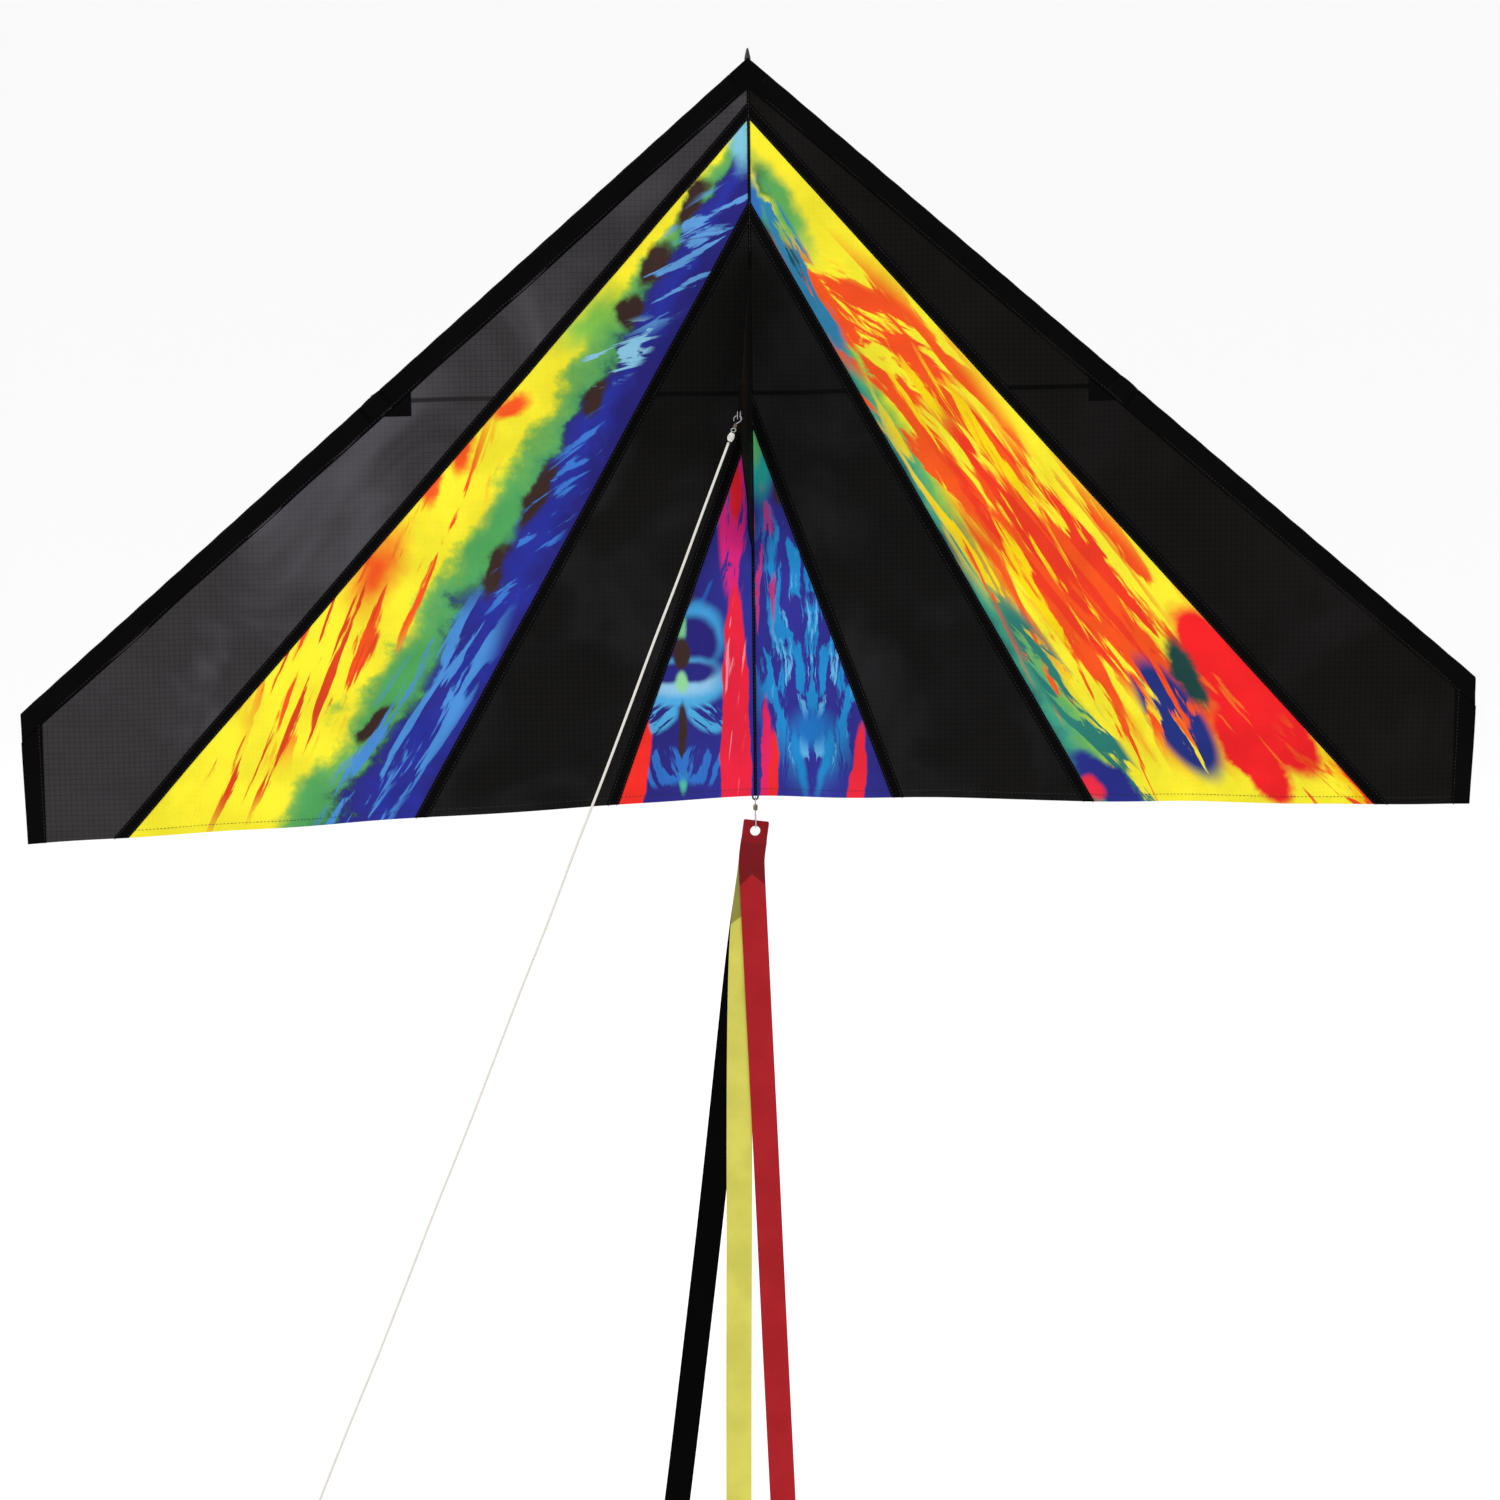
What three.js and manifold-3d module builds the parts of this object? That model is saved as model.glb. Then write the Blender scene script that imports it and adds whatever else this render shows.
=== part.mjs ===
// A single-line delta kite: a flat, book-folding delta sail of joined cloth panels on a spine, two leading
// rods and a cross spreader, with a triangular keel, a swivelled flying line and a three-ribbon tail.
// Millimetres. +Z runs up the spine to the nose, X across the span, and the keel points along -Y.
// The origin is the nose, where the two leading edges meet.
import * as THREE from "three";
import { mergeVertices } from "three/addons/utils/BufferGeometryUtils.js";
import Module from "manifold-3d";

const wasm = await Module();
wasm.setup();

// ---- Driving dimensions ----
const GAP = 0.3; // running clearance between touching pieces
const CLOTH = 0.8; // thickness of a single layer of sailcloth
const TAPE = 0.5; // thickness of the seam tapes and patches
const HEM = 1.6; // thickness of a folded hem

const SPINE_LENGTH = 721; // nose to the middle of the trailing edge
const HALF_SPAN = 712; // spine to the wing tip
const TIP_DROP = 621; // wing tip below the nose
const TIP_LENGTH = 129; // length of the short tip edge
const TIP_RAKE = 3; // the tip edge leans this far towards the spine
const LEAD_BAND = 22; // width of the leading-edge sleeve
const TIP_BAND = 18; // width of the tip hem
const TRAIL_BAND = 8; // width of the trailing hem
const TAPE_WIDTH = 11; // width of the tapes over the panel seams
const HINGE_X = 4.2; // the wings fold along lines this far from the spine
const STRIP_HALF = HINGE_X - GAP; // half width of the strip of sail sewn to the spine
const WING_START = HINGE_X + HEM / 2; // the wings start here, so that their thickest hem folds past the strip
const NOSE_HALF = 17.7; // half width of the nose cloth
// Each panel seam starts on the spine this far below the nose and ends on the trailing edge this far out.
const SEAMS = {
  outer: { apex: 50, out: 619 },
  inner: { apex: 147.5, out: 327 },
  centre: { apex: 338, out: 140 },
};

const ROD_R = 2; // radius of the frame's rods
const CAP_WALL = 0.7; // wall of the moulded rod caps
const CAP_R = ROD_R + GAP + CAP_WALL; // outer radius of a rod cap
const CAP_LENGTH = 12; // length of a rod cap
const CAP_FLOOR = 2; // solid end of a rod cap
const SLEEVE_WALL = 0.85; // cloth round a leading rod
const SLEEVE_R = ROD_R + GAP + SLEEVE_WALL; // outer radius of the sleeve's fold
const SLEEVE_EDGE = 1.2; // thickness of the sleeve where it meets the panel
const SLEEVE_START_X = NOSE_HALF + GAP; // the leading sleeves begin this far from the spine
const ROD_END = 3; // the capped rod stops this far short of the wing tip
const SLEEVE_END = ROD_END + CAP_LENGTH + GAP; // the sleeve stops at the rod's cap

const SPINE_WALL = 0.5; // cloth of the spine pocket
const SPINE_BORE = ROD_R + GAP; // radius of the spine pocket's tunnel
const SPINE_POCKET_R = SPINE_BORE + SPINE_WALL; // half width of the spine pocket
const SPINE_Y = CLOTH + GAP + CAP_R; // depth of the spine rod behind the sail's face
const SPINE_TOP = 3; // spine rod's top below the nose
const SPINE_BOTTOM = SPINE_LENGTH - 16; // spine rod's foot below the nose
const NOSE_POINT = 9; // the pointed nose cap stands this far above the nose
const NOSE_TIP_R = 1; // the nose cap's blunt point
const NOSE_RISE = 0.4; // the nose cloth stands this far in front of the sail

const SPREADER_DROP = 323; // spreader below the nose
const SPREADER_INSET = 3.5; // the spreader stops this far short of the leading rods' middle lines
const SPREADER_CAP = 10; // length of the spreader's end caps
const SPREADER_Y = SPINE_Y + SPINE_POCKET_R + GAP + ROD_R; // the spreader lies behind the spine pocket
const CLIP_WALL = 1.3; // wall of the spreader connector
const CLIP_LENGTH = 20; // length of the connector's open channel
const CLIP_LIP = 1.5; // the channel's sides reach this far past the rod's middle
const CLIP_STOP = 2.5; // room between the spreader's end and the channel's stop
const CLIP_RING = 16; // length of the connector's ring on the leading rod
const CLIP_NECK = 8; // width of the neck between the ring and the channel
const NOTCH_MARGIN = 5; // the sleeve's notch is this much longer each way than the ring
const NOTCH_DEPTH = 8; // the notch cuts this far into the sleeve from its fold
const PATCH_REACH = 34; // the patch by the connector reaches this far in from the spreader's end
const PATCH_BELOW = 15; // that patch ends this far below the spreader

const KEEL_TOP = 185; // keel's upper corner below the nose
const KEEL_FOOT = 490; // keel's lower corner below the nose
const KEEL_AXIS_Y = -1.6; // the keel's cloth bends along this line in front of the spine
const KEEL_ROOT = 0.5; // the keel's cloth starts this far from that line
const KEEL_SWING = -9; // degrees: the line draws the keel this far towards -X
const KEEL_BAND = 8; // width of the keel's edge bindings
const KEEL_BAND_START = 6; // the bindings start this far from the sail
const KEEL_PATCH_START = 118; // the doubled tip of the keel starts here
const TOW_REACH = 144.5; // tow eyelet from the keel's hinge line
const TOW_DROP = 322; // tow eyelet below the nose
const TOW_LOBE = 6; // radius of the keel's round tip about the eyelet
const EYELET_BORE = 2.4; // radius of the tow eyelet's hole
const EYELET_WALL = 0.8; // wall of the eyelet inside the cloth
const EYELET_FLANGE = 4.3; // outer radius of the tow eyelet

const TOW_WIRE = 0.45; // radius of the tow swivel's wire
const TOW_LOOP = 9.5; // length of the tow swivel's snap
const TOW_SNAP_HALF = 3.7; // half width of the tow snap
const TOW_BARREL = 4.2; // length of the tow swivel's barrel
const TOW_BARREL_R = 1.7; // outer radius of that barrel
const TOW_EYE_R = 2.2; // radius of the eye that the line is tied to
const TOW_SEAT = 0.6; // the snap's wire sits this far from the eyelet's middle
const SNAP_NECK = 1; // bare wire between a swivel's barrel and its snap
const BARREL_SHOULDER = 0.2; // part of a barrel's length taken by each tapered end
const KNOT_R = 3.6; // radius of the knot that ties the line to the swivel
const LINE_R = 1.2; // radius of the braided flying line
const END_KNOT = 9; // length of the stopper knot at the line's far end
const END_KNOT_R = 3.4; // radius of that stopper knot

const LOOP_R = 3.4; // round end of the tail loop
const LOOP_BORE = 1.8; // hole of the tail loop
const LOOP_DROP = SPINE_LENGTH + 1.5; // middle of that hole below the nose
const LOOP_TOP = SPINE_BOTTOM + CAP_FLOOR + 2 * GAP; // upper end of the loop, sewn under the spine's foot
const LOOP_THICK = 1.2; // thickness of the doubled tape of the loop
const TAIL_Y = CLOTH + GAP + LOOP_THICK / 2; // the tail hangs in this plane, just behind the sail
const TAIL_WIRE = 0.6; // radius of the tail swivel's wire
const TAIL_EYE_R = 3; // radius of the swivel's upper eye
const TAIL_BARREL = 6; // length of the tail swivel's barrel
const TAIL_BARREL_R = 2.2; // outer radius of that barrel
const TAIL_LOOP = 16; // length of the tail snap
const TAIL_SNAP_HALF = 3; // half width of the tail snap
const TAB_WIDTH = 25; // the folded tab across
const TAB_ABOVE = 6.9; // tab above the wire that it hangs on
const TAB_BELOW = 17; // tab below that wire
const TAB_HOLE_R = 5; // radius of the tab's hole
const TAB_THICK = 3.4; // thickness of the tab
const TAB_SEAT = 1.5; // the hole's upper edge stands this far above the wire's middle
const TAB_TILT = -8; // degrees: the tab hangs a little aslant
const RIBBON_WIDTH = 25.4; // one-inch ribbon
const RIBBON_STEP = 1.3; // each ribbon lies this far behind the one in front
const ROUND = 20; // sides of a turned piece
const SMALL_ROUND = 12; // sides of small bores and knots
const SNAP_STEPS = 44; // steps along a snap's bent wire
const LINE_STEPS = 60; // steps along the flying line
const RIBBON_STEPS = 48; // steps along a ribbon's edge

// A snap's bent wire from its stem round the bow to its gate: how far across and how far along from the neck
// or the bow, all in half widths of the snap.
const SNAP_STOPS = [
  { across: 0.7, neck: 0.7 },
  { across: 1, neck: 1.6 },
  { across: 1, bow: 1.1 },
  { across: 0.72, bow: 0.3 },
  { across: 0, bow: 0 },
  { across: -0.72, bow: 0.3 },
  { across: -1, bow: 1.1 },
  { across: -1, neck: 1.6 },
  { across: -0.78, neck: 0.7 },
];
// A knot's outline from its top: parts of its radius and of its length.
const KNOT_STOPS = [[0.8, 0], [1, 0.2], [0.75, 0.45], [0.85, 0.65], [0.5, 1]];

// Middle of each ribbon, across the span and below the sail, from the tab to its free end.
const RIBBON_RED = [[-4.2, 74], [-1, 159], [5, 319], [11, 479], [17, 639], [23.5, 813]];
const RIBBON_YELLOW = [[-5, 71], [-14, 144], [-18.5, 279], [-21, 479], [-23.5, 679], [-25, 813]];
const RIBBON_BLACK = [[-6, 79], [-18, 162], [-36, 317], [-54, 471], [-76, 647], [-98, 811]];
// The flying line from its knot to its far end, a taut run with a slight sag.
const LINE_ROUTE = [
  [-34.7, -167.1, -344.6], [-62, -218, -398], [-89, -270, -451], [-117, -322, -504], [-144, -373, -557],
  [-171, -424, -609], [-199, -476, -661], [-226, -528, -713], [-254, -579, -764], [-281, -630, -815],
  [-308, -682, -865], [-336, -734, -915], [-363, -785, -965], [-390, -837, -1014], [-418, -888, -1063],
  [-445, -940, -1112],
];

// ---- Plane geometry: x across the span, z up; an edge runs with the piece on its right-hand side ----
const edge = (from, to) => ({ from, to });
const point = (x, z) => new THREE.Vector2(x, z);

// Moves an edge sideways towards the piece.
function shift(line, amount) {
  const way = line.to.clone().sub(line.from).normalize();
  const side = point(way.y, -way.x).multiplyScalar(amount);
  return edge(line.from.clone().add(side), line.to.clone().add(side));
}

// The point where two edges, drawn out, cross.
function meet(first, second) {
  const a = first.to.clone().sub(first.from);
  const b = second.to.clone().sub(second.from);
  const t = second.from.clone().sub(first.from).cross(b) / a.cross(b);
  return first.from.clone().addScaledVector(a, t);
}

// The corners of a piece bounded by a ring of edges.
const ring = (...edges) => edges.map((line, i) => meet(line, edges[(i + 1) % edges.length]));
const upright = (x) => edge(point(x, -1), point(x, 0));
const level = (z) => edge(point(1, z), point(0, z));

const nose = point(0, 0);
const leadTip = point(HALF_SPAN, -TIP_DROP);
const trailTip = point(HALF_SPAN - TIP_RAKE, -TIP_DROP - TIP_LENGTH);
const trailMid = point(0, -SPINE_LENGTH);
const leadEdge = edge(nose, leadTip);
const tipEdge = edge(leadTip, trailTip);
const trailEdge = edge(trailTip, trailMid);
const foldEdge = upright(WING_START);
const leadWay = leadTip.clone().normalize();

// A seam from its apex on the spine to its end on the trailing edge; its inner panel is on the right.
function seamEdge({ apex, out }) {
  const start = point(0, -apex);
  return edge(start, meet(upright(out), trailEdge));
}
const seams = {
  outer: seamEdge(SEAMS.outer),
  inner: seamEdge(SEAMS.inner),
  centre: seamEdge(SEAMS.centre),
};

// ---- Solids ----
const degrees = THREE.MathUtils.degToRad;

// A flat piece with the given outline, from depth `front` to depth `back`. Its holes are drawn clockwise,
// so the outline is taken counter-clockwise.
function plate(corners, front, back, holes = []) {
  const turns = THREE.ShapeUtils.isClockWise(corners);
  const shape = new THREE.Shape(turns ? [...corners].reverse() : corners);
  shape.holes.push(...holes);
  const geometry = new THREE.ExtrudeGeometry(shape, {
    depth: back - front,
    bevelEnabled: false,
    curveSegments: SMALL_ROUND,
  });
  return geometry.rotateX(Math.PI / 2).translate(0, back, 0);
}

function circle(centre, radius) {
  return new THREE.Path().absarc(centre.x, centre.y, radius, 0, 2 * Math.PI, true);
}

// A turned piece about Z from a closed list of [radius, z], taken so that its outside runs upwards.
function turned(profile, sides = ROUND) {
  const points = profile.map(([radius, z]) => new THREE.Vector2(radius, z));
  if (THREE.ShapeUtils.area(points) < 0) points.reverse();
  return new THREE.LatheGeometry(points, sides).rotateX(Math.PI / 2);
}

// A round rod about Z between two heights.
const rod = (radius, low, high) =>
  new THREE.CylinderGeometry(radius, radius, high - low, ROUND)
    .rotateX(Math.PI / 2)
    .translate(0, 0, (low + high) / 2);

// A moulded cap about Z: its closed end is at zero and it opens downwards.
const cap = (length) =>
  turned([
    [0, 0],
    [CAP_R, 0],
    [CAP_R, -length],
    [CAP_R - CAP_WALL, -length],
    [CAP_R - CAP_WALL, -CAP_FLOOR],
    [0, -CAP_FLOOR],
    [0, 0],
  ]);

// A round wire along an open curve.
function wire(curve, radius, steps) {
  const section = new THREE.Shape();
  section.absarc(0, 0, radius, 0, 2 * Math.PI, false);
  return new THREE.ExtrudeGeometry(section, {
    extrudePath: curve,
    steps,
    bevelEnabled: false,
    curveSegments: 8,
  });
}

function toSolid(geometry) {
  const bare = geometry.index ? geometry.toNonIndexed() : geometry.clone();
  const merged = mergeVertices(
    new THREE.BufferGeometry().setAttribute("position", bare.getAttribute("position")),
    1e-4,
  );
  return new wasm.Manifold(
    new wasm.Mesh({
      numProp: 3,
      vertProperties: merged.attributes.position.array,
      triVerts: new Uint32Array(merged.index.array),
    }),
  );
}

function toGeometry(solid) {
  const mesh = solid.getMesh();
  return new THREE.BufferGeometry()
    .setAttribute("position", new THREE.BufferAttribute(new Float32Array(mesh.vertProperties), 3))
    .setIndex(new THREE.BufferAttribute(new Uint32Array(mesh.triVerts), 1));
}

const join = (first, ...rest) =>
  toGeometry(rest.reduce((sum, piece) => sum.add(toSolid(piece)), toSolid(first)));
const cut = (body, tool) => toGeometry(toSolid(body).subtract(toSolid(tool)));

// ---- Finishes ----
const finish = (color, roughness, metalness = 0) => ({ color, roughness, metalness });
const BLACK_CLOTH = finish(0x24211f, 0.75);
const BLACK_TAPE = finish(0x0a0a0a, 0.7);
const PRINT_WARM = finish(0xf0c22a, 0.7);
const PRINT_COOL = finish(0x2b2f8e, 0.7);
const ROD_FINISH = finish(0x15161a, 0.35);
const MOULDED = finish(0x101012, 0.5);
const STEEL = finish(0xb9bbbd, 0.3, 1);
const BRASS_DARK = finish(0x4a4238, 0.35, 1);
const WHITE_BRAID = finish(0xf0eee8, 0.8);
const TAB_RED = finish(0x7a1418, 0.75);
const RED = finish(0xb01e24, 0.75);
const YELLOW = finish(0xdad85a, 0.75);
const BLACK = finish(0x08080a, 0.75);

const kite = new THREE.Group();

function add(name, geometry, look, parent = kite) {
  const mesh = new THREE.Mesh(geometry, new THREE.MeshStandardMaterial(look));
  mesh.name = name;
  parent.add(mesh);
  return mesh;
}

// ---- Spine: rod, pocket, caps, nose cloth and the strip of sail sewn to it ----
function addSpine() {
  const spine = new THREE.Group();
  spine.position.y = SPINE_Y;
  kite.add(spine);
  add("spine_rod", rod(ROD_R, -SPINE_BOTTOM, -SPINE_TOP), ROD_FINISH, spine);

  const capTop = -SPINE_TOP + CAP_FLOOR + GAP;
  const capEnd = capTop - CAP_LENGTH;
  const noseCap = turned([
    [0, NOSE_POINT],
    [NOSE_TIP_R, NOSE_POINT - NOSE_TIP_R],
    [CAP_R, capTop],
    [CAP_R, capEnd],
    [CAP_R - CAP_WALL, capEnd],
    [CAP_R - CAP_WALL, capTop - CAP_FLOOR],
    [0, capTop - CAP_FLOOR],
    [0, NOSE_POINT],
  ]);
  add("nose_cap", noseCap, MOULDED, spine);

  const footCap = cap(CAP_LENGTH).rotateX(Math.PI).translate(0, 0, -SPINE_BOTTOM - CAP_FLOOR - GAP);
  add("spine_foot_cap", footCap, MOULDED, spine);
  const footCapTop = -SPINE_BOTTOM - CAP_FLOOR - GAP + CAP_LENGTH;

  const pocketTop = capEnd - GAP;
  const pocketFoot = footCapTop + GAP;
  const pocket = turned([
    [SPINE_BORE, pocketFoot],
    [SPINE_POCKET_R, pocketFoot],
    [SPINE_POCKET_R, pocketTop],
    [SPINE_BORE, pocketTop],
    [SPINE_BORE, pocketFoot],
  ]);
  add("spine_pocket", pocket, BLACK_TAPE, spine);

  const noseInner = shift(leadEdge, LEAD_BAND);
  const noseSide = upright(NOSE_HALF);
  const topOut = meet(leadEdge, noseSide);
  const lowOut = meet(noseInner, noseSide);
  const lowMid = meet(noseInner, upright(0));
  const mirror = (corner) => point(-corner.x, corner.y);
  const noseOutline = [nose, topOut, lowOut, lowMid, mirror(lowOut), mirror(topOut)];
  add("nose_patch", plate(noseOutline, -NOSE_RISE, CLOTH), BLACK_TAPE);

  const noseLow = meet(shift(noseInner, GAP), upright(STRIP_HALF));
  const stripMid = meet(shift(noseInner, GAP), upright(0));
  const strip = [
    point(-STRIP_HALF, -SPINE_LENGTH),
    mirror(noseLow),
    stripMid,
    noseLow,
    point(STRIP_HALF, -SPINE_LENGTH),
  ];
  add("spine_strip", plate(strip, 0, CLOTH), PRINT_COOL);
}

// ---- One wing, drawn on the +X side and mirrored for the other ----
function wingPanels() {
  const lead = shift(leadEdge, LEAD_BAND + GAP);
  const tip = shift(tipEdge, TIP_BAND + GAP);
  const trail = shift(trailEdge, TRAIL_BAND + GAP);
  const half = GAP / 2;
  const past = (seam) => shift(seam, half);
  const before = (seam) => shift(seam, -half);
  return {
    outer_panel: [BLACK_CLOTH, ring(lead, tip, trail, before(seams.outer), foldEdge)],
    print_panel: [PRINT_WARM, ring(past(seams.outer), trail, before(seams.inner), foldEdge)],
    inner_panel: [BLACK_CLOTH, ring(past(seams.inner), trail, before(seams.centre), foldEdge)],
    centre_panel: [PRINT_COOL, ring(past(seams.centre), trail, foldEdge)],
  };
}

function wingTapes() {
  const trail = shift(trailEdge, TRAIL_BAND + GAP);
  const tape = (seam) =>
    ring(shift(seam, -TAPE_WIDTH / 2), trail, shift(seam, TAPE_WIDTH / 2), foldEdge);
  return {
    outer_seam_tape: tape(seams.outer),
    inner_seam_tape: tape(seams.inner),
    centre_seam_tape: tape(seams.centre),
  };
}

// The hems: the trailing hem is a plain strip, and the tip hem also closes the corner at the sleeve's end.
function wingHems() {
  const sleeveInner = shift(leadEdge, LEAD_BAND + GAP);
  const sleeveEnd = sleeveEndEdge(GAP);
  const besideCap = shift(leadEdge, SLEEVE_R + CAP_R + GAP);
  const tipInner = shift(tipEdge, TIP_BAND);
  const hemTop = shift(trailEdge, TRAIL_BAND);
  const tipOutline = [
    meet(besideCap, tipEdge),
    trailTip,
    meet(trailEdge, tipInner),
    meet(tipInner, sleeveInner),
    meet(sleeveInner, sleeveEnd),
    meet(sleeveEnd, besideCap),
  ];
  return {
    tip_hem: tipOutline,
    trailing_hem: ring(shift(tipEdge, TIP_BAND + GAP), trailEdge, foldEdge, hemTop),
  };
}

// The square cut across the sleeve near the wing tip, moved outwards by `beyond`.
function sleeveEndEdge(beyond) {
  const at = leadTip.clone().addScaledVector(leadWay, beyond - SLEEVE_END);
  return edge(at, at.clone().add(point(leadWay.y, -leadWay.x)));
}

// A frame on the leading rod: X runs inwards from the edge, Y backwards and Z along the rod to the tip.
function leadFrame(x) {
  const along = new THREE.Vector3(leadWay.x, 0, leadWay.y);
  const inward = new THREE.Vector3(leadWay.y, 0, -leadWay.x);
  const back = new THREE.Vector3().crossVectors(along, inward);
  const start = along.clone().multiplyScalar(x / leadWay.x);
  return new THREE.Matrix4().makeBasis(inward, back, along).setPosition(start);
}

const rodMiddle = CLOTH / 2; // the leading rods lie in the sail's own plane
const leadLength = leadTip.length();

// The sleeve is a drop-shaped fold of cloth round the rod, thin where it is sewn to the panel.
function sleeve() {
  const reach = LEAD_BAND - SLEEVE_R;
  const lean = Math.asin((SLEEVE_R - SLEEVE_EDGE / 2) / reach);
  const section = new THREE.Shape();
  section.absarc(SLEEVE_R, 0, SLEEVE_R, Math.PI / 2 - lean, 1.5 * Math.PI + lean, false);
  section.lineTo(LEAD_BAND, -SLEEVE_EDGE / 2);
  section.lineTo(LEAD_BAND, SLEEVE_EDGE / 2);
  section.closePath();
  section.holes.push(circle(point(SLEEVE_R, 0), ROD_R + GAP));
  const length = leadLength - SLEEVE_END - SLEEVE_START_X / leadWay.x;
  const body = new THREE.ExtrudeGeometry(section, {
    depth: length,
    bevelEnabled: false,
    curveSegments: SMALL_ROUND,
  });
  body.applyMatrix4(leadFrame(SLEEVE_START_X));
  body.translate(0, rodMiddle, 0);
  const mid = clipPlace();
  const long = CLIP_RING + 2 * NOTCH_MARGIN;
  const notch = new THREE.BoxGeometry(2 * NOTCH_DEPTH, 4 * SLEEVE_R, long);
  notch.applyMatrix4(leadFrame(0)).translate(mid.x, rodMiddle, mid.z);
  const besideNose = new THREE.BoxGeometry(2 * SLEEVE_START_X, 4 * SLEEVE_R, SPINE_LENGTH);
  return cut(cut(body, notch), besideNose);
}

// Where the spreader's line crosses the leading rod's, and half of the spreader over its caps.
const rodCrossing = () => meet(shift(leadEdge, SLEEVE_R), level(-SPREADER_DROP));
const spreaderHalf = () => rodCrossing().x - SPREADER_INSET;

// The point of the leading edge beside the place where the spreader crosses behind the rod.
function clipPlace() {
  const along = rodCrossing().dot(leadWay);
  return new THREE.Vector3(leadWay.x * along, 0, leadWay.y * along);
}

// Puts a piece made about Z onto the leading rod's axis.
const onLeadAxis = (piece) =>
  piece.translate(SLEEVE_R, 0, 0).applyMatrix4(leadFrame(0)).translate(0, rodMiddle, 0);

function leadingRod() {
  const nearSide = (SLEEVE_R + ROD_R) * -leadWay.y; // the rod's inner side reaches this much nearer the spine
  const start = (SLEEVE_START_X + GAP + nearSide) / leadWay.x;
  return onLeadAxis(rod(ROD_R, start, leadLength - ROD_END - CAP_FLOOR - GAP));
}

const tipCap = () => onLeadAxis(cap(CAP_LENGTH).translate(0, 0, leadLength - ROD_END));

// The connector: a ring on the leading rod that carries an open channel for the spreader's end.
function spreaderClip() {
  const at = clipPlace();
  const rodFrame = leadFrame(0);
  const outer = ROD_R + GAP + CLIP_WALL;
  const ringSolid = turned([
    [ROD_R + GAP, -CLIP_RING / 2],
    [outer, -CLIP_RING / 2],
    [outer, CLIP_RING / 2],
    [ROD_R + GAP, CLIP_RING / 2],
    [ROD_R + GAP, -CLIP_RING / 2],
  ]);
  ringSolid.translate(SLEEVE_R, 0, 0).applyMatrix4(rodFrame).translate(at.x, rodMiddle, at.z);

  const slot = CAP_R + GAP; // half the channel's clear width
  const outside = slot + CLIP_WALL;
  const floorBack = SPREADER_Y - slot;
  const floorFront = floorBack - CLIP_WALL;
  const lip = SPREADER_Y + CLIP_LIP;
  const stop = spreaderHalf() + CLIP_STOP;
  const end = stop + CLIP_WALL;
  const block = new THREE.BoxGeometry(CLIP_LENGTH, lip - floorFront, 2 * outside);
  block.translate(end - CLIP_LENGTH / 2, (lip + floorFront) / 2, -SPREADER_DROP);
  const room = new THREE.BoxGeometry(CLIP_LENGTH, lip, 2 * slot);
  room.translate(stop - CLIP_LENGTH / 2, floorBack + lip / 2, -SPREADER_DROP);
  const neckFront = rodMiddle + ROD_R + GAP + CLIP_WALL / 2;
  const neck = new THREE.BoxGeometry(CLIP_NECK, floorBack - neckFront, 2 * outside);
  neck.translate(end - CLIP_NECK / 2, (floorBack + neckFront) / 2, -SPREADER_DROP);
  const bore = rod(ROD_R + GAP, -CLIP_RING, CLIP_RING);
  bore.translate(SLEEVE_R, 0, 0).applyMatrix4(rodFrame).translate(at.x, rodMiddle, at.z);
  return cut(cut(join(ringSolid, block, neck), room), bore);
}

function addWing(side, sign) {
  const wing = new THREE.Group();
  kite.add(wing);
  const put = (name, geometry, look) => {
    const made = sign < 0 ? mirrored(geometry) : geometry;
    add(`${side}_${name}`, made, look, wing);
  };
  put("leading_rod", leadingRod(), ROD_FINISH);
  put("tip_cap", tipCap(), MOULDED);
  put("leading_sleeve", sleeve(), BLACK_TAPE);
  put("spreader_clip", spreaderClip(), MOULDED);
  for (const [name, [look, outline]] of Object.entries(wingPanels())) {
    put(name, plate(outline, 0, CLOTH), look);
  }
  for (const [name, outline] of Object.entries(wingTapes())) {
    put(name, plate(outline, -GAP - TAPE, -GAP), BLACK_TAPE);
  }
  for (const [name, outline] of Object.entries(wingHems())) {
    put(name, plate(outline, (CLOTH - HEM) / 2, (CLOTH + HEM) / 2), BLACK_TAPE);
  }
  const sleeveInner = shift(leadEdge, LEAD_BAND + GAP);
  const patch = ring(sleeveInner, level(-SPREADER_DROP - PATCH_BELOW), upright(spreaderHalf() - PATCH_REACH));
  put("connector_patch", plate(patch, -GAP - TAPE, -GAP), BLACK_TAPE);
}

// The same piece on the other side of the spine, with its faces turned back outwards.
function mirrored(geometry) {
  const plain = geometry.index ? geometry.toNonIndexed() : geometry.clone();
  const spots = plain.getAttribute("position");
  for (let i = 0; i < spots.count; i += 3) {
    const a = new THREE.Vector3().fromBufferAttribute(spots, i);
    const b = new THREE.Vector3().fromBufferAttribute(spots, i + 1);
    const c = new THREE.Vector3().fromBufferAttribute(spots, i + 2);
    spots.setXYZ(i, -a.x, a.y, a.z);
    spots.setXYZ(i + 1, -c.x, c.y, c.z);
    spots.setXYZ(i + 2, -b.x, b.y, b.z);
  }
  return new THREE.BufferGeometry().setAttribute("position", spots);
}

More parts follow.
